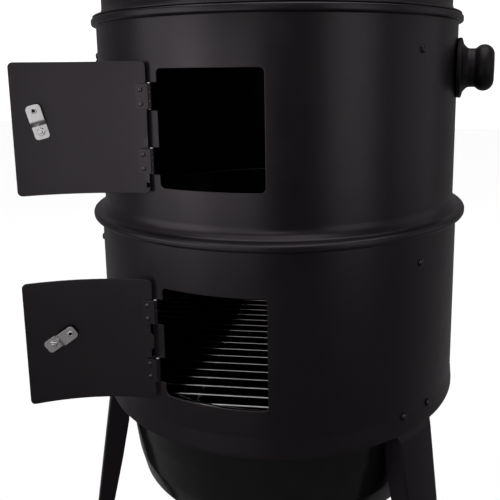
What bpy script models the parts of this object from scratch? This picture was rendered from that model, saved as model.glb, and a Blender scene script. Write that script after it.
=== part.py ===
"""Vertical charcoal water smoker: two stacked drum sections on three legs, with a domed lid.

World frame: the drum axis is Z, the floor is Z = 0 and the doors face -Y. An azimuth is measured
round the drum from the front (-Y) towards +X. Lengths are in millimetres until they reach a mesh.
"""

import math

import bmesh
import bpy
from mathutils import Matrix, Vector

MM = 0.001
SHEET = 1.5
DRUM_STEPS = 48
ROUND_STEPS = 36
KNOB_STEPS = 24
BOLT_STEPS = 8
THIRD = 120.0
SIDES = ("left", "right", "rear")
THIRD_AZIMUTHS = (60.0 - THIRD, 60.0, 60.0 + THIRD)

# Heights above the floor, counted up from the lower drum's bottom rim
BOTTOM_RIM_Z = 250.0
LEG_BOLT_Z = BOTTOM_RIM_Z + 18.0
BOWL_RIM_Z = BOTTOM_RIM_Z + 31.0
LOWER_OPENING_Z = BOTTOM_RIM_Z + 101.5
LOWER_BOLT_Z = BOTTOM_RIM_Z + 172.0
BEAD_Z = BOTTOM_RIM_Z + 199.5
WATER_RIM_Z = BOTTOM_RIM_Z + 212.5
UPPER_OPENING_Z = BOTTOM_RIM_Z + 305.0
SIDE_KNOB_Z = BOTTOM_RIM_Z + 357.0
UPPER_GRATE_Z = BOTTOM_RIM_Z + 366.0
UPPER_BOLT_Z = BOTTOM_RIM_Z + 374.0
TOP_RIM_Z = BOTTOM_RIM_Z + 412.0
DOME_Z = TOP_RIM_Z + 41.0

# Drum sections
UPPER_R = 200.0
LOWER_R = 204.0
SPIGOT_DROP = 12.0
RIM_OUT = 5.0
BEAD_OUT = 13.0
FLARE_OUT = 1.5
LID_R = 193.5
LID_RISE = 77.0

VENT_AZIMUTH = 130.0
VENT_ANGLE = 60.0
VENT_HOLE_R = 6.5
VENT_HOLE_CIRCLE = 16.5
GAUGE_ANGLE = 20.0
NEEDLE_COLD = 120.0

# Door openings and doors
OPENING_HALF_ANGLE = 14.85
OPENING_HEIGHT = 108.0
DOOR_HEIGHT = 120.8
DOOR_RAISE = 0.6
DOOR_GAP = 0.8
DOOR_START = 3.0
DOOR_ARC = 120.6
CORNER_R = 4.5
DOOR_OPEN = 158.0

# Hinges
PIN_BACK = 7.5
PIN_OUT = 1.5
PIN_R = 1.0
PIN_PLAY = 0.2
LEAF_T = 1.0
HINGE_HEIGHT = 23.0
HINGE_OFFSET = 29.5
NOTCH_MARGIN = 0.8
NOTCH_BACK = 3.2
KNUCKLE_GAP = 0.3
KNUCKLE_R = PIN_R + PIN_PLAY + LEAF_T
KNUCKLE_STEP = 31.0
DOOR_LEAF = 12.0
FRAME_LEAF = 14.0

# Latches
LATCH_FROM_EDGE = 24.0
LATCH_DROP = 1.0
TONGUE_W = 15.0
TONGUE_TAIL = 7.0
TONGUE_JOG = 9.0
TONGUE_RISE = 4.6
TONGUE_REACH = 25.0
TONGUE_T = 1.3
UPPER_TONGUE_ANGLE = 13.5
LOWER_TONGUE_ANGLE = -57.0

# Legs
LEG_TOP_HALF_W = 30.0
LEG_NECK_HALF_W = 26.0
LEG_FOOT_HALF_W = 18.0
LEG_NECK_DROP = 8.0
LEG_NECK_R = 206.5
LEG_R = 201.3
FOOT_R = 243.8
LEG_T = 2.0
LEG_BOLT_SPREAD = 5.65
FOOT_DEPTH = 30.0

# Bolts
BOLT_HEAD_R = 3.6
BOLT_HEAD_H = 2.4
BOLT_SHANK_R = 2.0
BOLT_HOLE_R = 2.4

# Grates and bowls
GRATE_WIRE = 3.0
GRATE_RING = 6.0
GRATE_PITCH = 17.3
UPPER_GRATE_R = 187.0
LOWER_GRATE_R = 190.0
LOWER_GRATE_TURN = 11.3
LOWER_GRATE_PHASE = -5.0
WATER_R = 186.0
BOWL_R = 192.0
BOWL_CORNER_R = 67.0
BOWL_CORNER_X = 118.3
BOWL_CORNER_Z = -90.0

PAINT = ("satin_black", (0.022, 0.021, 0.022), 0.42, 0.0)
ENAMEL = ("black_enamel", (0.012, 0.012, 0.013), 0.25, 0.0)
BAKELITE = ("black_bakelite", (0.014, 0.014, 0.014), 0.35, 0.0)
ZINC = ("zinc_steel", (0.56, 0.56, 0.55), 0.38, 1.0)
WIRE = ("plated_wire", (0.62, 0.62, 0.61), 0.22, 1.0)
DIAL = ("dial_white", (0.80, 0.80, 0.78), 0.55, 0.0)
NEEDLE = ("needle_red", (0.55, 0.03, 0.02), 0.45, 0.0)
GLASS = ("gauge_glass", (0.90, 0.92, 0.92), 0.05, 0.0)


def clear_scene():
    for thing in list(bpy.data.objects):
        bpy.data.objects.remove(thing, do_unlink=True)


def material(spec):
    name, colour, roughness, metallic = spec
    found = bpy.data.materials.get(name)
    if found:
        return found
    made = bpy.data.materials.new(name)
    made.use_nodes = True
    shader = made.node_tree.nodes["Principled BSDF"]
    shader.inputs["Base Color"].default_value = (*colour, 1.0)
    shader.inputs["Roughness"].default_value = roughness
    shader.inputs["Metallic"].default_value = metallic
    return made


def mesh_object(name, points, faces, spec):
    """An object from points in millimetres, with its faces made consistent."""
    mesh = bpy.data.meshes.new(name)
    mesh.from_pydata([Vector(p) * MM for p in points], [], faces)
    shape = bmesh.new()
    shape.from_mesh(mesh)
    bmesh.ops.recalc_face_normals(shape, faces=shape.faces)
    shape.to_mesh(mesh)
    shape.free()
    thing = bpy.data.objects.new(name, mesh)
    bpy.context.scene.collection.objects.link(thing)
    thing.data.materials.append(material(spec))
    return thing


def hide(cutter):
    cutter.hide_render = True
    cutter.display_type = "WIRE"


def boolean(thing, cutter, operation="DIFFERENCE"):
    step = thing.modifiers.new(cutter.name, "BOOLEAN")
    step.operation = operation
    step.object = cutter
    hide(cutter)
    if cutter.parent is None and thing.parent is not None:
        cutter.parent = thing.parent


def around(azimuth, radius, z=0.0):
    """A point at this azimuth and radius."""
    a = math.radians(azimuth)
    return Vector((radius * math.sin(a), -radius * math.cos(a), z))


def radial_frame(azimuth, radius, z):
    """Local X runs tangentially towards a larger azimuth, Y along +Z and Z outwards."""
    a = math.radians(azimuth)
    tangent = Vector((math.cos(a), math.sin(a), 0.0))
    outward = Vector((math.sin(a), -math.cos(a), 0.0))
    turn = Matrix((tangent, Vector((0.0, 0.0, 1.0)), outward)).transposed().to_4x4()
    return Matrix.Translation(around(azimuth, radius, z)) @ turn


def revolve(name, profile, spec, steps=ROUND_STEPS, frame=None):
    """A closed solid from a closed (radius, height) outline turned about local Z."""
    points = []
    rings = []
    for r, z in profile:
        if r < 1e-6:
            rings.append([len(points)] * steps)
            points.append(Vector((0.0, 0.0, z)))
            continue
        rings.append(list(range(len(points), len(points) + steps)))
        for k in range(steps):
            a = 2.0 * math.pi * (k + 0.5) / steps
            points.append(Vector((r * math.sin(a), -r * math.cos(a), z)))
    faces = []
    for i, ring in enumerate(rings):
        other = rings[(i + 1) % len(rings)]
        for k in range(steps):
            m = (k + 1) % steps
            corners = []
            for v in (ring[k], ring[m], other[m], other[k]):
                if v not in corners:
                    corners.append(v)
            if len(corners) > 2:
                faces.append(corners)
    if frame is not None:
        points = [frame @ p for p in points]
    return mesh_object(name, points, faces, spec)


def extrude(name, outline, low, high, frame, spec):
    """A prism: the local (x, y) outline from local z = low to z = high."""
    count = len(outline)
    points = [frame @ Vector((x, y, z)) for z in (low, high) for x, y in outline]
    faces = [list(range(count)), list(range(count, 2 * count))]
    for i in range(count):
        j = (i + 1) % count
        faces.append([i, j, count + j, count + i])
    return mesh_object(name, points, faces, spec)


def box(name, low, high, frame, spec):
    outline = [(low[0], low[1]), (high[0], low[1]), (high[0], high[1]), (low[0], high[1])]
    return extrude(name, outline, low[2], high[2], frame, spec)


def strip(path, thickness):
    """The outline of a bent strip: the path and the same path moved to its left by the thickness."""
    left = []
    for i, (x, y) in enumerate(path):
        before = Vector(path[max(i - 1, 0)])
        after = Vector(path[min(i + 1, len(path) - 1)])
        here = Vector((x, y))
        first = (here - before).normalized() if i else (after - here).normalized()
        last = (after - here).normalized() if i < len(path) - 1 else first
        normal = Vector((-first.y - last.y, first.x + last.x)).normalized()
        stretch = 1.0 / max(normal.dot(Vector((-first.y, first.x))), 0.35)
        left.append((x + normal.x * thickness * stretch, y + normal.y * thickness * stretch))
    return list(path) + left[::-1]


def curved_panel(name, start, end, low, high, inner, outer, corner, spec, steps=12):
    """A piece of a drum wall with round corners, from azimuth start to end (degrees)."""
    corner_angle = math.degrees(2.0 * corner / (inner + outer))
    columns = []
    for i in range(4):
        a = math.pi / 2.0 * i / 3.0
        columns.append((start + corner_angle * (1.0 - math.cos(a)), corner * (1.0 - math.sin(a))))
    inside = end - start - 2.0 * corner_angle
    for i in range(1, steps):
        columns.append((start + corner_angle + inside * i / steps, 0.0))
    for i in range(4):
        a = math.pi / 2.0 * i / 3.0
        columns.append((end - corner_angle * (1.0 - math.sin(a)), corner * (1.0 - math.cos(a))))
    points = []
    for azimuth, cut in columns:
        for z in (low + cut, high - cut):
            points.append(around(azimuth, inner, z))
            points.append(around(azimuth, outer, z))
    faces = [[0, 1, 3, 2]]
    for i in range(len(columns) - 1):
        a = 4 * i
        b = a + 4
        faces += [[a, a + 2, b + 2, b], [a + 1, b + 1, b + 3, a + 3]]
        faces += [[a, b, b + 1, a + 1], [a + 2, a + 3, b + 3, b + 2]]
    last = 4 * (len(columns) - 1)
    faces.append([last, last + 2, last + 3, last + 1])
    return mesh_object(name, points, faces, spec)


def round_cut(thing, name, radius, azimuth, z, near, far):
    """Cuts a radial round hole between two distances from the drum axis."""
    frame = radial_frame(azimuth, 0.0, z)
    profile = [(0.0, near), (radius, near), (radius, far), (0.0, far)]
    boolean(thing, revolve(name, profile, ZINC, BOLT_STEPS, frame))


def bolt(name, azimuth, radius, z, reach):
    """A round-headed bolt through a wall, its head seated at the radius."""
    profile = [(0.0, -reach), (BOLT_SHANK_R, -reach), (BOLT_SHANK_R, 0.0), (BOLT_HEAD_R, 0.0)]
    profile += [(BOLT_HEAD_R, 0.8), (BOLT_HEAD_R * 0.72, 1.9), (0.0, BOLT_HEAD_H)]
    return revolve(name, profile, PAINT, BOLT_STEPS, radial_frame(azimuth, radius, z))


def opening_cutter(name, wall_r, centre_z, notches):
    """The door opening, with the hinge notches at its left edge, as one cutter."""
    half = OPENING_HEIGHT / 2.0
    spans = (wall_r - 9.0, wall_r + 7.0)
    cutter = curved_panel(
        name, -OPENING_HALF_ANGLE, OPENING_HALF_ANGLE, centre_z - half, centre_z + half,
        *spans, CORNER_R, PAINT,
    )
    frame = radial_frame(pin_azimuth(wall_r), 0.0, 0.0)
    reach = HINGE_HEIGHT / 2.0 + NOTCH_MARGIN
    for i, z in enumerate(notches):
        low = (-NOTCH_BACK, z - reach, spans[0])
        high = (PIN_BACK + 6.0, z + reach, spans[1])
        boolean(cutter, box(f"{name}_notch_{i}", low, high, frame, PAINT), "UNION")
    return cutter


def pin_azimuth(wall_r):
    return -OPENING_HALF_ANGLE - math.degrees(PIN_BACK / wall_r)


def hinge_heights(centre_z):
    return {"top": centre_z + HINGE_OFFSET, "bottom": centre_z - HINGE_OFFSET}


def upper_shell():
    """Sheet drum with a rolled rim on top, a pressed bead and a short spigot below it."""
    r = UPPER_R
    inner = r - SHEET
    bead = r + BEAD_OUT
    rim = r + RIM_OUT
    outside = [
        (r, BEAD_Z - SPIGOT_DROP), (r, BEAD_Z), (bead - 3.0, BEAD_Z), (bead - 0.6, BEAD_Z + 2.2),
        (bead, BEAD_Z + 5.5), (bead - 2.2, BEAD_Z + 9.0), (r + 6.2, BEAD_Z + 9.4),
        (r + 2.4, BEAD_Z + 12.5), (r, BEAD_Z + 20.0), (r, TOP_RIM_Z - 8.6),
        (rim, TOP_RIM_Z - 7.2), (rim, TOP_RIM_Z - 1.6), (rim - 1.6, TOP_RIM_Z),
    ]
    inside = [
        (inner, TOP_RIM_Z), (inner, BEAD_Z + 20.4), (r + 1.0, BEAD_Z + 12.0),
        (r + 5.4, BEAD_Z + 7.8), (bead - 2.8, BEAD_Z + 7.5), (bead - 1.6, BEAD_Z + 5.3),
        (bead - 3.4, BEAD_Z + SHEET), (inner, BEAD_Z + SHEET), (inner, BEAD_Z - SPIGOT_DROP),
    ]
    shell = revolve("upper_shell", outside + inside, PAINT, DRUM_STEPS)
    heights = hinge_heights(UPPER_OPENING_Z).values()
    boolean(shell, opening_cutter("upper_opening", r, UPPER_OPENING_Z, heights))
    for side in (-90.0, 90.0):
        round_cut(shell, f"knob_hole_{side:.0f}", 3.2, side, SIDE_KNOB_Z, r - 10.0, r + 6.0)
    for k, azimuth in enumerate(THIRD_AZIMUTHS):
        round_cut(shell, f"upper_bolt_hole_{k}", BOLT_HOLE_R, azimuth, UPPER_BOLT_Z, r - 10.0, r + 6.0)
    return shell


def lower_shell():
    """Plain sheet drum with a slight flare at its bottom hem."""
    r = LOWER_R
    flare = r + FLARE_OUT
    profile = [
        (flare, BOTTOM_RIM_Z), (flare, BOTTOM_RIM_Z + 3.0), (r, BOTTOM_RIM_Z + 22.0),
        (r, BEAD_Z - 0.3), (r - SHEET, BEAD_Z - 0.3), (r - SHEET, BOTTOM_RIM_Z + 22.0),
        (flare - SHEET, BOTTOM_RIM_Z + 3.0), (flare - SHEET, BOTTOM_RIM_Z),
    ]
    shell = revolve("lower_shell", profile, PAINT, DRUM_STEPS)
    heights = hinge_heights(LOWER_OPENING_Z).values()
    boolean(shell, opening_cutter("lower_opening", r, LOWER_OPENING_Z, heights))
    for k, azimuth in enumerate(THIRD_AZIMUTHS):
        round_cut(shell, f"lower_bolt_hole_{k}", BOLT_HOLE_R, azimuth, LOWER_BOLT_Z, r - 10.0, r + 6.0)
        for side in (-1, 1):
            place = azimuth + side * LEG_BOLT_SPREAD
            name = f"leg_hole_{k}_{side}"
            round_cut(shell, name, BOLT_HOLE_R, place, LEG_BOLT_Z, r - 10.0, r + 6.0)
    return shell


def brackets():
    """Bent strips inside the walls: upper ones carry the grate, lower ones the water bowl."""
    inner = UPPER_R - SHEET - 0.8
    rest = UPPER_GRATE_Z - 0.3 - SHEET
    upper_path = [(175.0, rest), (inner, rest), (inner, rest + 18.0)]
    wall = LOWER_R - SHEET - 0.8
    top = WATER_RIM_Z - 0.3
    step = BOTTOM_RIM_Z + 185.5
    lower_path = [(wall, step - 22.5), (wall, step), (191.5, step), (191.5, top), (177.0, top)]
    upper_outline = strip(upper_path, SHEET)
    lower_outline = strip(lower_path, SHEET)
    for side, azimuth in zip(SIDES, THIRD_AZIMUTHS):
        turn = Matrix.Rotation(math.radians(azimuth), 4, "Z")
        flat = turn @ Matrix(((0, 0, 1, 0), (-1, 0, 0, 0), (0, 1, 0, 0), (0, 0, 0, 1)))
        made = extrude(f"grate_bracket_{side}", upper_outline, -9.0, 9.0, flat, ZINC)
        name = f"grate_bracket_hole_{side}"
        round_cut(made, name, BOLT_HOLE_R, azimuth, UPPER_BOLT_Z, inner - 8.0, inner + 6.0)
        bolt(f"grate_bracket_bolt_{side}", azimuth, UPPER_R + 0.05, UPPER_BOLT_Z, 9.0)
        made = extrude(f"bowl_bracket_{side}", lower_outline, -9.0, 9.0, flat, ZINC)
        name = f"bowl_bracket_hole_{side}"
        round_cut(made, name, BOLT_HOLE_R, azimuth, LOWER_BOLT_Z, wall - 8.0, wall + 6.0)
        bolt(f"bowl_bracket_bolt_{side}", azimuth, LOWER_R + 0.05, LOWER_BOLT_Z, 9.0)


def leg_section(radius, half_w, depth):
    """Channel section: an arc-shaped web with two flanges towards the drum axis."""
    web = []
    for i in range(-2, 3):
        x = half_w * i / 2.0
        web.append((x, math.sqrt(LEG_R * LEG_R - x * x) - LEG_R + radius))
    flange_y = web[0][1] - depth
    outside = [(-half_w, flange_y)] + web + [(half_w, flange_y)]
    inside = [(x * (half_w - LEG_T) / half_w, y - LEG_T) for x, y in web]
    tip = half_w - LEG_T
    return outside + [(tip, flange_y)] + inside[::-1] + [(-tip, flange_y)]


def leg_levels():
    """Height, outer radius, half width and flange depth down a leg."""
    neck_z = BOTTOM_RIM_Z - LEG_NECK_DROP
    levels = [
        (BOWL_RIM_Z - 0.6, LEG_R, LEG_TOP_HALF_W, 12.5),
        (BOTTOM_RIM_Z + 6.0, LEG_R, LEG_TOP_HALF_W, 12.5),
        (neck_z, LEG_NECK_R, LEG_NECK_HALF_W, 20.0),
    ]
    for share, depth in ((0.14, 24.0), (0.35, 22.0), (1.0, 11.0)):
        radius = LEG_NECK_R + (FOOT_R - LEG_NECK_R) * share
        half_w = LEG_NECK_HALF_W + (LEG_FOOT_HALF_W - LEG_NECK_HALF_W) * share
        levels.append((neck_z * (1.0 - share), radius, half_w, depth))
    return levels


def leg(side, azimuth):
    """One tapered leg: upright inside the drum, stepped out under its rim, then splayed."""
    levels = leg_levels()
    frame = Matrix.Rotation(math.radians(azimuth), 4, "Z") @ Matrix.Rotation(math.pi, 4, "Z")
    points = []
    for z, radius, half_w, depth in levels:
        for x, y in leg_section(radius, half_w, depth):
            points.append(frame @ Vector((-x, y, z)))
    count = len(points) // len(levels)
    faces = [list(range(count)), [count * (len(levels) - 1) + i for i in range(count)]]
    for level in range(len(levels) - 1):
        for i in range(count):
            j = (i + 1) % count
            a = level * count
            faces.append([a + i, a + j, a + count + j, a + count + i])
    made = mesh_object(f"leg_{side}", points, faces, PAINT)
    low = (-LEG_FOOT_HALF_W + 1.0, -FOOT_R + 0.8, 0.0)
    high = (LEG_FOOT_HALF_W - 1.0, -FOOT_R + FOOT_DEPTH, LEG_T)
    turn = Matrix.Rotation(math.radians(azimuth), 4, "Z")
    boolean(made, box(f"foot_{side}", low, high, turn, PAINT), "UNION")
    for k, offset in enumerate((-LEG_BOLT_SPREAD, LEG_BOLT_SPREAD)):
        place = azimuth + offset
        name = f"leg_bolt_hole_{side}_{k}"
        round_cut(made, name, BOLT_HOLE_R, place, LEG_BOLT_Z, LEG_R - 10.0, LEG_R + 6.0)
        bolt(f"leg_bolt_{side}_{k + 1}", place, LOWER_R + 0.5, LEG_BOLT_Z, 9.0)
    return made


def door(prefix, wall_r, centre_z, tongue_angle, middle_on_door):
    """A curved door with its hinges and latch, built closed and then swung open about its pin."""
    pin_az = pin_azimuth(wall_r)
    pin_r = wall_r + PIN_OUT
    swing = bpy.data.objects.new(f"{prefix}_door_swing", None)
    bpy.context.scene.collection.objects.link(swing)
    inner = wall_r + DOOR_GAP
    outer = inner + SHEET
    start = pin_az + math.degrees(DOOR_START / wall_r)
    end = start + math.degrees(DOOR_ARC / wall_r)
    half = DOOR_HEIGHT / 2.0
    door_z = centre_z + DOOR_RAISE
    bounds = (start, end, door_z - half, door_z + half, inner, outer)
    panel = curved_panel(f"{prefix}_door", *bounds, CORNER_R, PAINT, 14)
    moving = [panel]
    frame = radial_frame(pin_az, pin_r, 0.0)
    for place, z in hinge_heights(centre_z).items():
        moving.append(door_leaf(f"{prefix}_door_leaf_{place}", frame, z, middle_on_door[place]))
        frame_leaf(f"{prefix}_frame_leaf_{place}", frame, z, not middle_on_door[place])
        hinge_pin(f"{prefix}_hinge_pin_{place}", frame, z)
    latch_az = end - math.degrees(LATCH_FROM_EDGE / wall_r)
    latch = radial_frame(latch_az, inner, centre_z - LATCH_DROP)
    core = [(0.0, -6.0), (4.0, -6.0), (4.0, 8.0), (0.0, 8.0)]
    hole = revolve(f"{prefix}_latch_hole", core, PAINT, 16, latch)
    boolean(panel, hole)
    moving.append(hole)
    moving += latch_pieces(prefix, latch, tongue_angle)
    pivot = frame.to_translation() * MM
    for piece in moving:
        piece.data.transform(Matrix.Translation(-pivot))
        piece.parent = swing
    swing.location = pivot
    swing.rotation_euler = (0.0, 0.0, -math.radians(DOOR_OPEN))


def knuckle_path(start, count):
    """The outside of a curl round the pin, clockwise from the start angle."""
    path = []
    for i in range(count):
        a = math.radians(start - KNUCKLE_STEP * i)
        path.append((KNUCKLE_R * math.cos(a), KNUCKLE_R * math.sin(a)))
    return path


def pin_plane(frame, z):
    """Local X is tangential, Y outwards and Z up, at the pin."""
    swap = Matrix(((1, 0, 0, 0), (0, 0, 1, 0), (0, 1, 0, 0), (0, 0, 0, 1)))
    return Matrix.Translation((0.0, 0.0, z)) @ frame @ swap


def door_leaf(name, frame, z, middle):
    """Goes from the curl along the inside of the door."""
    outline = strip([(DOOR_LEAF, -KNUCKLE_R)] + knuckle_path(-90.0, 10), -LEAF_T)
    return leaf(name, outline, frame, z, middle)


def frame_leaf(name, frame, z, middle):
    """Goes from the curl through the notch and lies along the inside of the wall."""
    low = -PIN_OUT - SHEET - 1.2
    outline = strip([(-FRAME_LEAF, low), (-KNUCKLE_R, low)] + knuckle_path(180.0, 9), -LEAF_T)
    return leaf(name, outline, frame, z, middle)


def leaf(name, outline, frame, z, middle):
    """Extrudes a leaf and cuts its curl down to the middle knuckle, or to the two outer ones."""
    half = HINGE_HEIGHT / 2.0
    third = HINGE_HEIGHT / 6.0
    plane = pin_plane(frame, z)
    made = extrude(name, outline, -half, half, plane, PAINT)
    reach = KNUCKLE_R + 0.3
    spans = [(-third - KNUCKLE_GAP, third + KNUCKLE_GAP)]
    if middle:
        spans = [(-half - 1.0, -third), (third, half + 1.0)]
    for k, (low, high) in enumerate(spans):
        cut = box(f"{name}_gap_{k}", (-reach, -reach, low), (reach, reach + 1.0, high), plane, ZINC)
        boolean(made, cut)
    return made


def hinge_pin(name, frame, z):
    half = HINGE_HEIGHT / 2.0
    profile = [
        (0.0, -half - 0.5), (PIN_R, -half - 0.5), (PIN_R, half + 0.3), (PIN_R + 1.0, half + 0.3),
        (PIN_R + 0.8, half + 1.2), (0.0, half + 1.3),
    ]
    plane = Matrix.Translation((0.0, 0.0, z)) @ Matrix.Translation(frame.to_translation())
    return revolve(name, profile, ZINC, 10, plane)


def latch_pieces(prefix, latch, angle):
    """A joggled tongue inside the door, and the turn knob with its spindle outside."""
    near = -0.3
    far = near - TONGUE_RISE
    bend = [(TONGUE_JOG - 3.0, near), (TONGUE_JOG + 1.0, far)]
    path = [(-TONGUE_TAIL, near)] + bend + [(TONGUE_REACH, far)]
    outline = strip(path, -TONGUE_T)
    turn = latch @ Matrix.Rotation(-math.radians(angle), 4, "Z")
    side = turn @ Matrix(((0, 0, 1, 0), (1, 0, 0, 0), (0, 1, 0, 0), (0, 0, 0, 1)))
    tongue = extrude(f"{prefix}_latch_tongue", outline, -TONGUE_W / 2.0, TONGUE_W / 2.0, side, ZINC)
    core = [(0.0, -5.0), (3.3, -5.0), (3.3, 3.0), (0.0, 3.0)]
    hole = revolve(f"{prefix}_tongue_hole", core, ZINC, 12, latch)
    boolean(tongue, hole)
    out = DOOR_GAP + SHEET
    profile = [
        (0.0, -3.4), (4.6, -3.4), (4.6, -2.0), (3.0, -1.8), (3.0, out - 0.4), (11.5, out - 0.4),
        (12.0, out + 1.4), (8.0, out + 3.4), (7.4, out + 7.0), (10.6, out + 10.0),
        (11.0, out + 14.0), (8.5, out + 16.6), (0.0, out + 17.2),
    ]
    knob = revolve(f"{prefix}_latch_knob", profile, BAKELITE, 16, latch)
    return [tongue, hole, knob]


def side_knobs():
    """Turned handles on both sides of the upper section, each with a screw from inside."""
    for side, azimuth in (("left", -90.0), ("right", 90.0)):
        frame = radial_frame(azimuth, UPPER_R, SIDE_KNOB_Z)
        profile = [
            (0.0, 14.0), (2.9, 14.0), (2.9, 0.3), (31.0, 0.3), (31.5, 3.2), (26.0, 5.4),
            (20.8, 9.5), (20.5, 14.0), (23.0, 19.0), (24.0, 24.5), (23.2, 31.0), (20.3, 35.8),
            (17.0, 37.0), (0.0, 37.0),
        ]
        revolve(f"side_knob_{side}", profile, BAKELITE, KNOB_STEPS, frame)
        inner = -SHEET - 0.8
        screw = [
            (0.0, inner - 3.2), (4.0, inner - 3.0), (5.2, inner - 1.2), (5.2, inner),
            (2.6, inner), (2.6, 12.5), (0.0, 13.0),
        ]
        revolve(f"side_knob_screw_{side}", screw, ZINC, 12, frame)


def dome_point(angle, gap=0.0):
    """A point of the lid's dome at this angle up its ellipse: radius and height."""
    a = math.radians(angle)
    return ((LID_R + gap) * math.cos(a), DOME_Z + (LID_RISE + gap) * math.sin(a))


def dome_frame(azimuth, angle):
    """Local Z along the dome's outward normal, local X tangential."""
    a = math.radians(angle)
    r, z = dome_point(angle)
    normal = Vector((math.cos(a) / LID_R, math.sin(a) / LID_RISE)).normalized()
    tilt = math.atan2(normal.y, normal.x)
    return radial_frame(azimuth, r, z) @ Matrix.Rotation(-tilt, 4, "X")


def lid():
    """Domed lid whose skirt drops into the upper section, with its knob, damper and gauge."""
    flange = TOP_RIM_Z + 0.3
    outside = [
        (LID_R, TOP_RIM_Z - 9.0), (LID_R, flange), (UPPER_R + 3.2, flange),
        (UPPER_R + 3.4, flange + 1.2), (UPPER_R + 1.0, flange + 2.2), (LID_R + 2.6, flange + 3.2),
        (LID_R, flange + 8.0),
    ]
    angles = range(0, 90, 10)
    outside += [dome_point(angle) for angle in angles] + [(0.0, DOME_Z + LID_RISE)]
    inside = [dome_point(angle, -SHEET) for angle in angles] + [(0.0, DOME_Z + LID_RISE - SHEET)]
    skirt = (LID_R - SHEET, TOP_RIM_Z - 9.0)
    shell = revolve("lid_shell", outside + inside[::-1] + [skirt], PAINT)
    vent = dome_frame(VENT_AZIMUTH, VENT_ANGLE)
    gauge = dome_frame(0.0, GAUGE_ANGLE)
    for k in range(3):
        boolean(shell, vent_hole(f"lid_vent_hole_{k}", vent, k))
    core = [(0.0, -9.0), (2.3, -9.0), (2.3, 6.0), (0.0, 6.0)]
    boolean(shell, revolve("vent_rivet_hole", core, PAINT, 12, vent))
    core = [(0.0, -12.0), (4.4, -12.0), (4.4, 8.0), (0.0, 8.0)]
    boolean(shell, revolve("gauge_hole", core, PAINT, 12, gauge))
    disc = [(0.0, 0.5), (27.0, 0.5), (27.0, 1.8), (0.0, 1.8)]
    damper = revolve("vent_damper", disc, ZINC, KNOB_STEPS, vent)
    for k in range(3):
        boolean(damper, vent_hole(f"damper_hole_{k}", vent, k))
    core = [(0.0, -3.0), (2.3, -3.0), (2.3, 6.0), (0.0, 6.0)]
    boolean(damper, revolve("damper_rivet_hole", core, ZINC, 12, vent))
    rivet = [(0.0, -5.0), (2.0, -5.0), (2.0, 2.1), (4.6, 2.1), (3.8, 3.8), (0.0, 4.4)]
    revolve("vent_rivet", rivet, ZINC, 12, vent)
    top = DOME_Z + LID_RISE
    core = [(0.0, top - 8.0), (3.4, top - 8.0), (3.4, top + 6.0), (0.0, top + 6.0)]
    boolean(shell, revolve("lid_knob_hole", core, PAINT, 12))
    knob = [
        (0.0, top - 5.0), (7.0, top - 5.0), (7.0, top - 2.2), (3.0, top - 2.2), (3.0, top + 0.4),
        (24.0, top + 0.4), (24.5, top + 3.0), (17.5, top + 7.0), (16.5, top + 12.0),
        (20.5, top + 19.0), (23.5, top + 25.0), (22.5, top + 31.5), (17.0, top + 35.0),
        (0.0, top + 36.0),
    ]
    revolve("lid_knob", knob, BAKELITE, KNOB_STEPS)
    thermometer(gauge)


def vent_hole(name, frame, k):
    """One of the three vent holes, through the lid and its damper alike."""
    a = math.radians(THIRD * k)
    offset = (VENT_HOLE_CIRCLE * math.cos(a), VENT_HOLE_CIRCLE * math.sin(a), 0.0)
    place = frame @ Matrix.Translation(offset)
    core = [(0.0, -9.0), (VENT_HOLE_R, -9.0), (VENT_HOLE_R, 6.0), (0.0, 6.0)]
    return revolve(name, core, PAINT, 12, place)


def thermometer(frame):
    """A dial gauge on the dome: cup with its stem, dial, needle at its cold mark, and glass."""
    base = 1.2
    case = [
        (0.0, -40.0), (2.4, -40.0), (2.4, -9.0), (3.9, -9.0), (3.9, base), (17.0, base),
        (26.0, base + 5.5), (26.0, base + 14.0), (23.4, base + 14.0), (23.4, base + 7.5),
        (0.0, base + 6.0),
    ]
    revolve("thermometer_case", case, ZINC, KNOB_STEPS, frame)
    dial = base + 8.0
    disc = [(0.0, dial), (23.0, dial), (23.0, dial + 0.8), (0.0, dial + 0.8)]
    revolve("thermometer_dial", disc, DIAL, KNOB_STEPS, frame)
    hub = dial + 1.1
    button = [(0.0, hub), (2.6, hub), (2.2, hub + 1.2), (0.0, hub + 1.4)]
    needle = revolve("thermometer_needle", button, NEEDLE, 12, frame)
    cold = frame @ Matrix.Rotation(math.radians(NEEDLE_COLD), 4, "Z")
    arm = box("needle_arm", (-0.9, -6.0, hub + 0.1), (0.9, 18.0, hub + 0.8), cold, NEEDLE)
    boolean(needle, arm, "UNION")
    glass = hub + 1.8
    pane = [(0.0, glass), (23.1, glass), (23.1, glass + 1.4), (0.0, glass + 1.8)]
    revolve("thermometer_glass", pane, GLASS, KNOB_STEPS, frame)


def bowl_corner(inset):
    """The round corner of the charcoal bowl, from its wall to its flat bottom."""
    reach = BOWL_CORNER_R - inset
    corner = []
    for tilt in (38.0, 55.0, 72.0, 90.0):
        a = math.radians(tilt)
        r = BOWL_CORNER_X + reach * math.cos(a)
        corner.append((r, BOWL_RIM_Z + BOWL_CORNER_Z - reach * math.sin(a)))
    return corner


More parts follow.
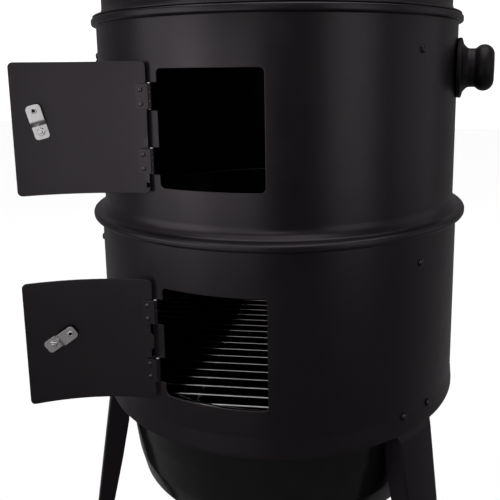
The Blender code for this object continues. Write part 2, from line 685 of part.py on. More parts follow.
def bowls():
    """The enamelled water bowl and the deep charcoal bowl, each a sheet with a flat rim."""
    z = WATER_RIM_Z
    water = [
        (WATER_R, z), (WATER_R, z + 1.6), (173.5, z + 1.6), (171.0, z - 25.0), (160.0, z - 52.0),
        (138.0, z - 68.0), (110.0, z - 74.0), (0.0, z - 74.0), (0.0, z - 75.5), (110.5, z - 75.5),
        (139.0, z - 69.4), (161.2, z - 53.0), (172.5, z - 25.4), (175.0, z),
    ]
    revolve("water_bowl", water, ENAMEL)
    rim = BOWL_RIM_Z
    outside = [(185.0, rim), (184.5, rim - 31.0), (181.6, rim - 71.0), (176.8, rim - 108.0)]
    outside += bowl_corner(0.0)
    inside = [(r - SHEET, z) for r, z in outside[1:4]] + bowl_corner(SHEET)
    charcoal = [(BOWL_R, rim + SHEET), (BOWL_R, rim)] + outside
    charcoal += [(0.0, outside[-1][1]), (0.0, inside[-1][1])] + inside[::-1] + [(183.5, rim + SHEET)]
    revolve("charcoal_bowl", charcoal, ENAMEL)


def grate(name, ring_r, base_z, phase=0.0, turn=0.0):
    """Parallel bars welded on top of a flat ring and two cross bars, as one piece."""
    low = base_z
    high = base_z + GRATE_RING
    ring = [(ring_r - GRATE_RING, low), (ring_r, low), (ring_r, high), (ring_r - GRATE_RING, high)]
    made = revolve(name, ring, WIRE)
    flat = Matrix.Identity(4)
    half = GRATE_WIRE / 2.0
    count = int((ring_r - GRATE_RING) / GRATE_PITCH)
    top = high - 0.5
    points = []
    faces = []

    def add_bar(x0, x1, y0, y1, z0, z1):
        start = len(points)
        for z in (z0, z1):
            points.extend([(x0, y0, z), (x1, y0, z), (x1, y1, z), (x0, y1, z)])
        for corners in ((0, 1, 2, 3), (4, 5, 6, 7), (0, 1, 5, 4), (1, 2, 6, 5), (2, 3, 7, 6), (3, 0, 4, 7)):
            faces.append([start + c for c in corners])

    for i in range(-count, count + 1):
        y = i * GRATE_PITCH + phase
        reach = math.sqrt(ring_r * ring_r - y * y) - 4.0
        add_bar(-reach, reach, y - half, y + half, top - GRATE_WIRE, top)
    bars = mesh_object(f"{name}_bars", points, faces, WIRE)
    boolean(made, bars, "UNION")
    for k, x in enumerate((-62.0, 62.0)):
        reach = math.sqrt(ring_r * ring_r - x * x) - 4.0
        low_z = low + 0.6
        cross = box(f"{name}_cross_{k}", (x - 2.0, -reach, low_z), (x + 2.0, reach, low_z + 3.4), flat, WIRE)
        boolean(made, cross, "UNION")
    for piece in [made] + [step.object for step in made.modifiers]:
        piece.data.transform(Matrix.Rotation(math.radians(turn), 4, "Z"))
    return made


def main():
    clear_scene()
    upper_shell()
    lower_shell()
    brackets()
    for side, azimuth in zip(SIDES, THIRD_AZIMUTHS):
        leg(side, azimuth)
    side_knobs()
    door("upper", UPPER_R, UPPER_OPENING_Z, UPPER_TONGUE_ANGLE, {"top": False, "bottom": True})
    door("lower", LOWER_R, LOWER_OPENING_Z, LOWER_TONGUE_ANGLE, {"top": False, "bottom": True})
    lid()
    bowls()
    grate("upper_grate", UPPER_GRATE_R, UPPER_GRATE_Z)
    grate("lower_grate", LOWER_GRATE_R, BOWL_RIM_Z + SHEET + 0.3, LOWER_GRATE_PHASE, LOWER_GRATE_TURN)


main()
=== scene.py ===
"""Looks of the vertical charcoal water smoker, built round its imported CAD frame.

The drum axis is Z, the doors face -Y and the floor is Z = 0. Lengths are in millimetres until they
reach a mesh. An azimuth is measured round the drum from the front (-Y) towards +X.
"""

import math

import bmesh
import bpy
from mathutils import Matrix, Vector
from mathutils.geometry import delaunay_2d_cdt


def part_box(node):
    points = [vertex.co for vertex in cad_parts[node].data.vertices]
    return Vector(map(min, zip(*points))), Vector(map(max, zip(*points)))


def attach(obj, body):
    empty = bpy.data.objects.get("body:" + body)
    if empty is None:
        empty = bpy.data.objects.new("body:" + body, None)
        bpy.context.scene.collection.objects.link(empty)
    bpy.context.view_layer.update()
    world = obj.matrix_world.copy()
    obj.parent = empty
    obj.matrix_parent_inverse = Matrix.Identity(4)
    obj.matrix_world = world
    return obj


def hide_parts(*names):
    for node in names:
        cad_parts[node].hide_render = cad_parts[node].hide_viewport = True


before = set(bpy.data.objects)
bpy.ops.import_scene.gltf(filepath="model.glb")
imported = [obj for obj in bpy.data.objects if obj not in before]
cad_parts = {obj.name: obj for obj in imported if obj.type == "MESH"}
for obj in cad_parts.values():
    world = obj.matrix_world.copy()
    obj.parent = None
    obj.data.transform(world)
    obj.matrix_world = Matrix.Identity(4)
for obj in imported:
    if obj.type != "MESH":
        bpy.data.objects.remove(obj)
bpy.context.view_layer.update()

MM = 0.001
SHEET = 1.5
EDGE = 0.35
THIRD = 120.0
SIDES = ("left", "right", "rear")
SIDE_AZIMUTHS = (-60.0, 60.0, 180.0)

# Levels, counted up from the lower drum's bottom rim
RIM_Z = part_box("lower_shell")[0].z / MM
LEG_BOLT_Z = RIM_Z + 18.0
BOWL_RIM_Z = RIM_Z + 31.0
LOWER_OPENING_Z = RIM_Z + 101.5
LOWER_BOLT_Z = RIM_Z + 172.0
BEAD_Z = RIM_Z + 199.5
WATER_RIM_Z = RIM_Z + 212.5
UPPER_OPENING_Z = RIM_Z + 305.0
SIDE_KNOB_Z = RIM_Z + 357.0
UPPER_GRATE_Z = RIM_Z + 366.0
UPPER_BOLT_Z = RIM_Z + 374.0
TOP_RIM_Z = RIM_Z + 412.0
DOME_Z = TOP_RIM_Z + 41.0

# Drums and lid
UPPER_R = 200.0
LOWER_R = 204.0
SPIGOT_DROP = 12.0
COLUMNS = 256
LID_R = 193.5
LID_RISE = 77.0
LID_STEPS = 192
VENT_AZIMUTH = 130.0
VENT_ANGLE = 60.0
VENT_HOLE_R = 6.5
VENT_HOLE_CIRCLE = 16.5
DAMPER_R = 27.0
GAUGE_ANGLE = 20.0
NEEDLE_COLD = 120.0

# Openings, doors, hinges and latches
OPENING_HALF_ANGLE = 14.85
OPENING_HALF_H = 54.0
OPENING_EDGE = 0.7
WINDOW_MARGIN = 9.0
WINDOW_ROWS = 14
WINDOW_COLUMNS = (-17, 14)
CORNER_R = 4.5
DOOR_HALF_H = 60.4
DOOR_RAISE = 0.6
DOOR_GAP = 0.8
DOOR_START = 3.0
DOOR_ARC = 120.6
DOOR_OPEN = 158.0
PIN_BACK = 7.5
PIN_OUT = 1.5
PIN_R = 1.0
CURL_R = 2.2
CURL_STEPS = 21
LEAF_T = 1.0
HINGE_HALF_H = 11.5
HINGE_OFFSET = 29.5
SCREW_OFFSET = 6.5
MIDDLE_ON_DOOR = {"top": False, "bottom": True}
NOTCH_HALF_H = 12.3
NOTCH_BACK = 3.2
LATCH_FROM_EDGE = 24.0
LATCH_DROP = 1.0
TONGUE_ANGLES = {"upper": 13.5, "lower": -57.0}
TONGUE_SEAT = -0.3
TONGUE_RISE = 4.6
TONGUE_T = 1.3
TONGUE_DIMPLE = 19.6

# Legs
LEG_R = 201.3
LEG_NECK_R = 206.5
FOOT_R = 243.8
LEG_TOP_HALF_W = 30.0
LEG_NECK_HALF_W = 26.0
LEG_FOOT_HALF_W = 18.0
LEG_BEND_R = 2.6
LEG_T = 2.0
LEG_BOLT_SPREAD = 5.65

# Bolts and brackets
HEAD_R = 3.6
HEAD_H = 2.4
SHANK_R = 2.0
BOLT_REACH = 9.0
NUT_R = 3.9
NUT_H = 2.8
BRACKET_GAP = 0.8
BRACKET_HALF_W = 9.0

# Grates
UPPER_GRATE_R = 187.0
LOWER_GRATE_R = 190.0
LOWER_GRATE_PHASE = -5.0
LOWER_GRATE_TURN = 11.3
HOOP_STEPS = 144
HOOP_WIRE_R = 3.0
BAR_R = 1.5
BAR_PITCH = 17.3
CROSS_BAR_R = 1.9
CROSS_BAR_X = 62.0


# ---- materials


def node(tree, kind, **settings):
    """A new node; settings that start with in_ go to its inputs."""
    made = tree.nodes.new(kind)
    for key, value in settings.items():
        if key.startswith("in_"):
            made.inputs[key[3:].replace("_", " ")].default_value = value
        else:
            setattr(made, key, value)
    return made


def noise(tree, coords, scale, detail=3.0, stretch=(1.0, 1.0, 1.0), roughness=0.55):
    """A noise value; scale counts features per metre."""
    place = node(tree, "ShaderNodeMapping", in_Scale=stretch)
    tree.links.new(coords, place.inputs["Vector"])
    made = node(tree, "ShaderNodeTexNoise", in_Scale=scale, in_Detail=detail, in_Roughness=roughness)
    tree.links.new(place.outputs["Vector"], made.inputs["Vector"])
    return made.outputs["Fac"]


def spread(tree, value, low, high, start=0.3, end=0.7):
    """A value remapped from start..end to low..high."""
    made = node(tree, "ShaderNodeMapRange")
    made.inputs["From Min"].default_value = start
    made.inputs["From Max"].default_value = end
    made.inputs["To Min"].default_value = low
    made.inputs["To Max"].default_value = high
    tree.links.new(value, made.inputs["Value"])
    return made.outputs["Result"]


def finish_of(name, colours, rough, broad, fine, bump, metallic=0.0, stretch=(1, 1, 1), **sockets):
    """A finish: two colours mixed by broad noise, uneven roughness and a fine bump."""
    made = bpy.data.materials.new(name)
    made.use_nodes = True
    tree = made.node_tree
    shader = tree.nodes["Principled BSDF"]
    coords = node(tree, "ShaderNodeTexCoord").outputs["Object"]
    tone = spread(tree, noise(tree, coords, broad, 4.0, stretch), 0.0, 1.0)
    mix = node(tree, "ShaderNodeMix", data_type="RGBA")
    mix.inputs["A"].default_value = (*colours[0], 1.0)
    mix.inputs["B"].default_value = (*colours[1], 1.0)
    tree.links.new(tone, mix.inputs["Factor"])
    tree.links.new(mix.outputs["Result"], shader.inputs["Base Color"])
    patchy = spread(tree, noise(tree, coords, broad * 3.1, 3.0, stretch), rough[0], rough[1])
    tree.links.new(patchy, shader.inputs["Roughness"])
    relief = node(tree, "ShaderNodeBump", in_Strength=bump[0], in_Distance=bump[1])
    tree.links.new(noise(tree, coords, fine, 2.0, stretch), relief.inputs["Height"])
    tree.links.new(relief.outputs["Normal"], shader.inputs["Normal"])
    shader.inputs["Metallic"].default_value = metallic
    for key, value in sockets.items():
        shader.inputs[key.replace("_", " ")].default_value = value
    return made


LOOKS = {
    "satin_black": finish_of(
        "SatinPowderCoat", ((0.0072, 0.0050, 0.0068), (0.0092, 0.0066, 0.0088)),
        (0.31, 0.36), 22.0, 1300.0, (0.10, 0.0002), Specular_Tint=(1.0, 0.94, 0.99, 1.0),
    ),
    "bolt_black": finish_of(
        "BlackPlatedBolt", ((0.060, 0.054, 0.060), (0.090, 0.080, 0.090)),
        (0.09, 0.13), 160.0, 1400.0, (0.04, 0.0001), 1.0,
    ),
    "black_enamel": finish_of(
        "BlackEnamel", ((0.006, 0.006, 0.007), (0.010, 0.010, 0.011)),
        (0.14, 0.22), 60.0, 420.0, (0.06, 0.0002),
    ),
    "black_bakelite": finish_of(
        "Bakelite", ((0.008, 0.0065, 0.008), (0.013, 0.0105, 0.013)),
        (0.40, 0.50), 90.0, 900.0, (0.05, 0.0001), Specular_IOR_Level=0.26,
    ),
    "zinc_steel": finish_of(
        "ZincPlate", ((0.66, 0.66, 0.65), (0.78, 0.78, 0.77)),
        (0.26, 0.38), 160.0, 1500.0, (0.12, 0.0001), 1.0, (1.0, 1.0, 0.25),
    ),
    "plated_wire": finish_of(
        "ChromeWire", ((0.40, 0.40, 0.40), (0.52, 0.52, 0.51)),
        (0.08, 0.14), 120.0, 900.0, (0.06, 0.0001), 1.0,
    ),
    "dial_white": finish_of(
        "DialEnamel", ((0.74, 0.74, 0.71), (0.82, 0.82, 0.79)),
        (0.42, 0.5), 120.0, 1600.0, (0.03, 0.0001),
    ),
    "dial_print": finish_of(
        "DialPrint", ((0.010, 0.010, 0.010), (0.018, 0.018, 0.018)),
        (0.5, 0.6), 300.0, 1600.0, (0.03, 0.0001),
    ),
    "needle_red": finish_of(
        "NeedleRed", ((0.45, 0.018, 0.012), (0.58, 0.030, 0.020)),
        (0.35, 0.45), 200.0, 1400.0, (0.03, 0.0001),
    ),
    "gauge_glass": finish_of(
        "GaugeGlass", ((0.96, 0.98, 0.98), (1.0, 1.0, 1.0)),
        (0.02, 0.05), 40.0, 300.0, (0.01, 0.0001), 0.0, Transmission_Weight=1.0, IOR=1.48,
    ),
}


# ---- shapes


def around(azimuth, radius, z=0.0):
    """The point at an azimuth, a distance from the drum's axis and a height."""
    a = math.radians(azimuth)
    return Vector((radius * math.sin(a), -radius * math.cos(a), z))


def radial_frame(azimuth, radius, z):
    """Local X runs tangentially towards a larger azimuth, Y along +Z and Z outwards."""
    a = math.radians(azimuth)
    tangent = Vector((math.cos(a), math.sin(a), 0.0))
    outward = Vector((math.sin(a), -math.cos(a), 0.0))
    turn = Matrix((tangent, Vector((0.0, 0.0, 1.0)), outward)).transposed().to_4x4()
    return Matrix.Translation(around(azimuth, radius, z)) @ turn


def turned(degrees):
    """A turn about the drum's axis."""
    return Matrix.Rotation(math.radians(degrees), 4, "Z")


def fillet(corners, closed=True, arc=5):
    """A line through (x, y) or (x, y, radius) corners, each rounded to its radius."""
    count = len(corners)
    path = []
    for i, corner in enumerate(corners):
        here = Vector(corner[:2])
        radius = corner[2] if len(corner) > 2 else 0.0
        if radius <= 0.0 or (not closed and i in (0, count - 1)):
            path.append(here)
            continue
        before = Vector(corners[i - 1][:2]) - here
        after = Vector(corners[(i + 1) % count][:2]) - here
        half = before.angle(after) / 2.0
        if half > math.radians(89.0):
            path.append(here)
            continue
        reach = min(radius / math.tan(half), 0.48 * before.length, 0.48 * after.length)
        start = here + before.normalized() * reach
        end = here + after.normalized() * reach
        centre = here + (before.normalized() + after.normalized()).normalized() * (reach / math.cos(half))
        first = start - centre
        last = end - centre
        sweep = math.atan2(first.x * last.y - first.y * last.x, first.dot(last))
        for k in range(arc + 1):
            path.append(centre + Matrix.Rotation(sweep * k / arc, 2) @ first)
    return path


def split(path, step, closed=True):
    """The same line with no segment longer than step."""
    made = []
    count = len(path)
    for i in range(count if closed else count - 1):
        here = Vector(path[i])
        there = Vector(path[(i + 1) % count])
        parts = max(1, math.ceil((there - here).length / step - 1e-6))
        made += [here.lerp(there, k / parts) for k in range(parts)]
    if not closed:
        made.append(Vector(path[-1]))
    return made


def shifted(path, amount, closed=True):
    """The line moved to its left."""
    made = []
    count = len(path)
    for i, here in enumerate(path):
        before = path[i - 1] if closed or i else here
        after = path[(i + 1) % count] if closed or i < count - 1 else here
        first = (here - before).normalized() if (here - before).length > 1e-9 else None
        last = (after - here).normalized() if (after - here).length > 1e-9 else first
        first = first or last
        side = Vector((-first.y - last.y, first.x + last.x)).normalized()
        stretch = 1.0 / max(side.dot(Vector((-first.y, first.x))), 0.4)
        made.append(here + side * amount * stretch)
    return made


def area(loop):
    """The area inside the loop, above zero where it runs anticlockwise."""
    return sum(loop[i - 1].x * p.y - p.x * loop[i - 1].y for i, p in enumerate(loop)) / 2.0


def holds(loop, point):
    """Whether the point is inside the loop."""
    found = False
    for i, b in enumerate(loop):
        a = loop[i - 1]
        if (a.y > point.y) != (b.y > point.y):
            if point.x < a.x + (point.y - a.y) * (b.x - a.x) / (b.y - a.y):
                found = not found
    return found


def circle(x, y, radius, steps=24):
    """A circle, or a regular polygon where the steps are few."""
    loop = []
    for k in range(steps):
        a = 2.0 * math.pi * k / steps
        loop.append(Vector((x + radius * math.cos(a), y + radius * math.sin(a))))
    return loop


def join(*parts):
    """Several (points, faces) as one."""
    points = []
    faces = []
    for some, polygons in parts:
        start = len(points)
        points += some
        faces += [[start + v for v in polygon] for polygon in polygons]
    return points, faces


def moved(part, matrix):
    return [matrix @ Vector(p) for p in part[0]], part[1]


def lathe(profile, steps=96):
    """A closed outline of (radius, height) turned about Z."""
    points = []
    rings = []
    for r, z in profile:
        if r < 1e-6:
            rings.append([len(points)] * steps)
            points.append(Vector((0.0, 0.0, z)))
            continue
        rings.append(list(range(len(points), len(points) + steps)))
        for k in range(steps):
            a = 2.0 * math.pi * k / steps
            points.append(Vector((r * math.sin(a), -r * math.cos(a), z)))
    faces = []
    for i, ring in enumerate(rings):
        other = rings[(i + 1) % len(rings)]
        for k in range(steps):
            m = (k + 1) % steps
            corners = list(dict.fromkeys((ring[k], ring[m], other[m], other[k])))
            if len(corners) > 2:
                faces.append(corners)
    return points, faces


def fill(loops, extra):
    """Triangles between the first loop and the others, with extra points where they fit."""
    flat = []
    edges = []
    for loop in loops:
        start = len(flat)
        flat += loop
        edges += [(start + i, start + (i + 1) % len(loop)) for i in range(len(loop))]
    margins = [shifted(loop, 1.6) for loop in loops]
    for point in extra:
        if holds(margins[0], point) and not any(holds(m, point) for m in margins[1:]):
            flat.append(point)
    found = delaunay_2d_cdt(flat, edges, [], 0, 1e-5)
    faces = []
    for corners in found[2]:
        middle = (found[0][corners[0]] + found[0][corners[1]] + found[0][corners[2]]) / 3.0
        if holds(loops[0], middle) and not any(holds(loop, middle) for loop in loops[1:]):
            faces.append(list(corners))
    return found[0], faces


def bands(count, rings):
    """The four-sided faces between closed rings of points that follow one another."""
    faces = []
    for ring in range(rings - 1):
        a = ring * count
        for i in range(count):
            j = (i + 1) % count
            faces.append([a + i, a + j, a + count + j, a + count + i])
    return faces


def rim_of(loop, place, thickness, edge):
    """The rounded cut edge of a sheet along a loop."""
    rings = []
    for k in range(4):
        a = math.pi / 2.0 * k / 3.0
        rings.append((edge * (1.0 - math.sin(a)), edge * (1.0 - math.cos(a))))
    rings += [(inset, thickness - depth) for inset, depth in rings[::-1]]
    points = []
    for inset, depth in rings:
        points += [place(p.x, p.y, depth) for p in shifted(loop, inset)]
    return points, bands(len(loop), len(rings))


def sheet(loops, place, thickness, extra=(), edge=EDGE, border=True):
    """A sheet with thickness: its outline and holes drawn flat, then put in place with a depth."""
    wound = []
    for i, loop in enumerate(loops):
        wound.append(loop if (area(loop) > 0) == (i == 0) else loop[::-1])
    inset = [shifted(loop, edge) if border or i else loop for i, loop in enumerate(wound)]
    flat, faces = fill(inset, extra)
    front = [place(p.x, p.y, 0.0) for p in flat]
    back = [place(p.x, p.y, thickness) for p in flat]
    rims = [rim_of(loop, place, thickness, edge) for loop in (wound if border else wound[1:])]
    return join((front, faces), (back, [face[::-1] for face in faces]), *rims)


def grid(low, high, step_x, step_y):
    """Points at even steps between two corners."""
    made = []
    for i in range(int((high[0] - low[0]) / step_x) + 1):
        for j in range(int((high[1] - low[1]) / step_y) + 1):
            made.append(Vector((low[0] + i * step_x, low[1] + j * step_y)))
    return made


def prism(outline, low, high, matrix, edge=0.0):
    """The (x, y) outline from local z = low to high, its two end faces slightly chamfered."""
    levels = [(low, 0.0), (high, 0.0)]
    if edge:
        levels = [(low, edge), (low + edge, 0.0), (high - edge, 0.0), (high, edge)]
    wound = [Vector(p) for p in outline]
    if area(wound) < 0:
        wound.reverse()
    count = len(wound)
    points = []
    for z, inset in levels:
        points += [matrix @ Vector((p.x, p.y, z)) for p in (shifted(wound, inset) if inset else wound)]
    ends = [list(range(count)), [count * (len(levels) - 1) + i for i in range(count)]]
    return points, ends + bands(count, len(levels))


def hoop(radius, z):
    """A level ring of points round the drum's axis."""
    return [around(360.0 * k / HOOP_STEPS, radius, z) for k in range(HOOP_STEPS)]


def tube(path, radius, sides=12, closed=False, end=0.0):
    """A round wire along a line of points, with ends rounded over the length end."""
    count = len(path)
    up = Vector((0.0, 0.0, 1.0))
    points = []
    sections = []
    for i, here in enumerate(path):
        before = path[i - 1] if closed or i else here
        after = path[(i + 1) % count] if closed or i < count - 1 else here
        along = (after - before).normalized()
        across = along.cross(up)
        across = across.normalized() if across.length > 1e-6 else Vector((1.0, 0.0, 0.0))
        sections.append((here, along, across, across.cross(along)))
    rings = [(s, 0.0, radius) for s in sections]
    if not closed and end:
        head = [(sections[0], -end * k, radius * (1.0 - k * k) ** 0.5) for k in (0.95, 0.8, 0.5)]
        tail = [(sections[-1], end * k, radius * (1.0 - k * k) ** 0.5) for k in (0.5, 0.8, 0.95)]
        rings = head + rings + tail
    for (here, along, across, over), shift, r in rings:
        for k in range(sides):
            a = 2.0 * math.pi * k / sides
            points.append(here + along * shift + across * (r * math.cos(a)) + over * (r * math.sin(a)))
    faces = []
    total = len(rings)
    for i in range(total if closed else total - 1):
        a = i * sides
        b = (i + 1) % total * sides
        for k in range(sides):
            m = (k + 1) % sides
            faces.append([a + k, a + m, b + m, b + k])
    if not closed:
        faces += [list(range(sides)), list(range((total - 1) * sides, total * sides))]
    return points, faces


def mesh_object(name, part, weld):
    """The mesh object of a part, with its faces outwards and smooth."""
    mesh = bpy.data.meshes.new(name)
    mesh.from_pydata([Vector(p) * MM for p in part[0]], [], part[1])
    shape = bmesh.new()
    shape.from_mesh(mesh)
    if weld:
        bmesh.ops.remove_doubles(shape, verts=shape.verts, dist=2e-6)
        bmesh.ops.dissolve_degenerate(shape, edges=shape.edges, dist=1e-7)
    bmesh.ops.recalc_face_normals(shape, faces=shape.faces)
    shape.to_mesh(mesh)
    shape.free()
    mesh.polygons.foreach_set("use_smooth", [True] * len(mesh.polygons))
    made = bpy.data.objects.new(name, mesh)
    bpy.context.scene.collection.objects.link(made)
    return made


def piece(name, part, look, body, replaced=(), sharp=34.0, matrix=None, weld=True):
    """Makes the mesh object of a part, gives it its finish and lets it ride on its body."""
    made = mesh_object(name, moved(part, matrix) if matrix is not None else part, weld)
    made.data.set_sharp_from_angle(angle=math.radians(sharp))
    made.data.materials.append(LOOKS[look])
    weights = made.modifiers.new("even shading", "WEIGHTED_NORMAL")
    weights.keep_sharp = True
    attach(made, body)
    if replaced:
        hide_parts(*([replaced] if isinstance(replaced, str) else replaced))
    return made


def pierce(made, cutters):
    """Cuts closed parts out of a piece for good."""
    shading = made.modifiers["even shading"]
    shading.show_viewport = False
    for part in cutters:
        cutter = mesh_object("cutter", part, False)
        step = made.modifiers.new("cut", "BOOLEAN")
        step.operation = "DIFFERENCE"
        step.solver = "EXACT"
        step.object = cutter
        graph = bpy.context.evaluated_depsgraph_get()
        result = bpy.data.meshes.new_from_object(made.evaluated_get(graph))
        result.set_sharp_from_angle(angle=math.radians(34.0))
        result.name = made.name
        made.modifiers.remove(step)
        made.data = result
        bpy.data.objects.remove(cutter)
    shading.show_viewport = True


# ---- drums


def pin_azimuth(wall_r):
    """Where a door's hinge pins stand."""
    return -OPENING_HALF_ANGLE - math.degrees(PIN_BACK / wall_r)


def opening_loop(wall_r, centre_z):
    """The door opening with its two hinge notches, drawn flat."""
    x = math.radians(OPENING_HALF_ANGLE) * wall_r
    back = -x - PIN_BACK - NOTCH_BACK
    corners = [(x, -OPENING_HALF_H, CORNER_R), (x, OPENING_HALF_H, CORNER_R)]
    corners.append((-x, OPENING_HALF_H, CORNER_R))
    for middle in (HINGE_OFFSET, -HINGE_OFFSET):
        high = middle + NOTCH_HALF_H
        low = middle - NOTCH_HALF_H
        corners += [(-x, high, 1.2), (back, high, 1.0), (back, low, 1.0), (-x, low, 1.2)]
    corners.append((-x, -OPENING_HALF_H, CORNER_R))
    loop = split(fillet(corners), 4.6)
    return [Vector((p.x, p.y + centre_z)) for p in loop]


def drum(name, above, below, wall_r, centre_z, body, node_name):
    """A drum whose outline is given above and below its opening; inner and outer wall join them."""
    low = centre_z - OPENING_HALF_H - WINDOW_MARGIN
    height = 2.0 * (OPENING_HALF_H + WINDOW_MARGIN)
    rows = [low + height * k / WINDOW_ROWS for k in range(WINDOW_ROWS + 1)]
    profile = list(above[0])
    first_outer = len(profile)
    profile += [(wall_r, z) for z in rows[::-1]]
    profile += below[0] + below[1]
    first_inner = len(profile)
    profile += [(wall_r - SHEET, z) for z in rows]
    profile += above[1]
    points, faces = lathe(profile, COLUMNS)
    step = 360.0 / COLUMNS
    left, right = WINDOW_COLUMNS
    kept = []
    for index, face in enumerate(faces):
        ring, column = divmod(index, COLUMNS)
        column = column if column < COLUMNS // 2 else column - COLUMNS
        in_rows = 0 <= ring - first_outer < WINDOW_ROWS or 0 <= ring - first_inner < WINDOW_ROWS
        if not (in_rows and left <= column < right):
            kept.append(face)
    xs = [math.radians(step * k) * wall_r for k in range(left, right + 1)]
    border = [Vector((x, rows[0])) for x in xs]
    border += [Vector((xs[-1], z)) for z in rows[1:]]
    border += [Vector((x, rows[-1])) for x in xs[-2::-1]]
    border += [Vector((xs[0], z)) for z in rows[-2:0:-1]]
    extra = [Vector((x, z)) for x in xs for z in rows]

    def place(x, z, depth):
        return around(math.degrees(x / wall_r), wall_r - depth, z)

    window = sheet([border, opening_loop(wall_r, centre_z)], place, SHEET, extra, OPENING_EDGE, False)
    return piece(name, join((points, kept), window), "satin_black", body, node_name)


def upper_drum():
    """Rolled rim on top, a pressed bead near the bottom and a spigot that drops into the lower drum."""
    r = UPPER_R
    inner = r - SHEET
    top = TOP_RIM_Z
    bead = BEAD_Z
    rim = fillet([
        (inner, top - 14.0), (inner, top, 1.3), (r + 5.0, top, 2.6), (r + 5.0, top - 7.2, 2.2),
        (r, top - 7.8, 0.8), (r, top - 16.0),
    ], False, 8)
    curve = fillet([
        (r, bead + 34.0), (r, bead + 17.0, 18.0), (r + 5.2, bead + 9.9, 3.6), (r + 10.4, bead + 8.6, 1.6),
        (r + 13.0, bead + 7.0, 3.0), (r + 13.0, bead + 2.0, 2.8), (r + 9.0, bead, 3.0), (r, bead, 0.5),
        (r, bead - SPIGOT_DROP, 0.5), (inner, bead - SPIGOT_DROP, 0.5), (inner, bead + SHEET, 0.8),
        (r + 8.6, bead + SHEET, 1.6), (r + 11.5, bead + 3.0, 1.6), (r + 11.5, bead + 6.0, 1.4),
        (r + 9.6, bead + 7.2, 1.4), (r + 4.4, bead + 8.4, 2.4), (inner, bead + 17.4, 12.0),
        (inner, bead + 34.0),
    ], False, 8)
    half = next(i for i, p in enumerate(curve) if p.x < r - 0.5)
    cut = next(i for i, p in enumerate(rim) if p.x > inner + 0.5)
    return drum(
        "upper_shell_visual", (rim[cut:], rim[:cut]), (curve[:half], curve[half:]),
        r, UPPER_OPENING_Z, "upper_section", "upper_shell",
    )


def lower_drum():
    """Plain drum, slightly flared at its hemmed bottom edge."""
    r = LOWER_R
    top = BEAD_Z - 0.3
    rim = fillet([(r - SHEET, top - 10.0), (r - SHEET, top, 0.6), (r, top, 0.6), (r, top - 10.0)], False, 5)
    cut = next(i for i, p in enumerate(rim) if p.x > r - 0.5 * SHEET)
    hem = fillet([
        (r, RIM_Z + 30.0), (r, RIM_Z + 20.0, 40.0), (r + 1.5, RIM_Z + 3.0, 6.0), (r + 1.5, RIM_Z, 0.9),
        (r - 0.9, RIM_Z, 0.9), (r - 0.9, RIM_Z + 7.0, 0.5), (r - 0.3, RIM_Z + 7.4, 0.4),
        (r - SHEET, RIM_Z + 20.0, 30.0), (r - SHEET, RIM_Z + 30.0),
    ], False, 6)
    half = next(i for i, p in enumerate(hem) if p.x < r - 0.2)
    return drum(
        "lower_shell_visual", (rim[cut:], rim[:cut]), (hem[:half], hem[half:]),
        r, LOWER_OPENING_Z, "lower_section", "lower_shell",
    )


# ---- small hardware


def bolt_part(nut_at):
    """Pan head on a washer, shank and hexagon nut, along local Z."""
    head = fillet([
        (0.0, 0.35), (HEAD_R + 0.5, 0.0, 0.1), (HEAD_R + 0.5, 0.35, 0.1), (HEAD_R, 0.4, 0.1),
        (HEAD_R, 1.2, 0.8), (HEAD_R * 0.66, 2.2, 1.6), (0.8, HEAD_H, 0.4), (0.6, HEAD_H - 0.5, 0.1),
        (0.0, HEAD_H - 0.6),
    ], False, 5)
    head[0] = Vector((0.0, 0.0))
    tip = -BOLT_REACH
    shank = [(0.0, tip), (SHANK_R - 0.4, tip), (SHANK_R, tip + 0.5), (SHANK_R, 0.0), (0.0, 0.0)]
    nut = prism(circle(0.0, 0.0, NUT_R, 6), nut_at - NUT_H, nut_at, Matrix.Identity(4), 0.3)
    return join(lathe(head, 24), lathe(shank, 16), nut)


def brackets_and_bolts():
    """The bent strips inside the walls, with their bolts."""
    inner = UPPER_R - SHEET - BRACKET_GAP
    rest = UPPER_GRATE_Z - 0.3 - SHEET
    high = fillet([(175.0, rest), (inner, rest, 2.4), (inner, rest + 18.0)], False)
    wall = LOWER_R - SHEET - BRACKET_GAP
    top = WATER_RIM_Z - 0.3
    step = RIM_Z + 185.5
    low = fillet([
        (wall, step - 22.5), (wall, step, 2.2), (191.5, step, 2.2), (191.5, top, 2.2), (177.0, top),
    ], False)
    radially = Matrix(((0, 0, 1, 0), (-1, 0, 0, 0), (0, 1, 0, 0), (0, 0, 0, 1)))
    shapes = {
        "grate_bracket": (high, "upper_section", UPPER_R, UPPER_BOLT_Z, inner - SHEET),
        "bowl_bracket": (low, "lower_section", LOWER_R, LOWER_BOLT_Z, wall - SHEET),
    }
    for prefix, (path, body, wall_r, bolt_z, seat) in shapes.items():
        outline = path + shifted(path, SHEET, False)[::-1]
        for side, azimuth in zip(SIDES, SIDE_AZIMUTHS):
            place = turned(azimuth) @ radially
            part = prism(outline, -BRACKET_HALF_W, BRACKET_HALF_W, place, 0.25)
            name = f"{prefix}_{side}"
            piece(f"{name}_visual", part, "zinc_steel", body, name)
            place = radial_frame(azimuth, wall_r + 0.05, bolt_z)
            name = f"{prefix}_bolt_{side}"
            part = bolt_part(seat - wall_r)
            piece(f"{name}_visual", part, "bolt_black", body, name, 30.0, place)


def leg_line(radius, half_w, depth):
    """The folded channel section of a leg: outer line from flange tip to flange tip."""
    corners = [(-half_w, 0.0)]
    for i in range(-4, 5):
        x = half_w * i / 4.0
        y = math.sqrt(LEG_R * LEG_R - x * x) - LEG_R + radius
        corners.append((x, y, LEG_BEND_R if abs(i) == 4 else 0.0))
    tip = corners[1][1] - depth
    corners[0] = (-half_w, tip)
    corners.append((half_w, tip))
    return fillet(corners, False, 6)


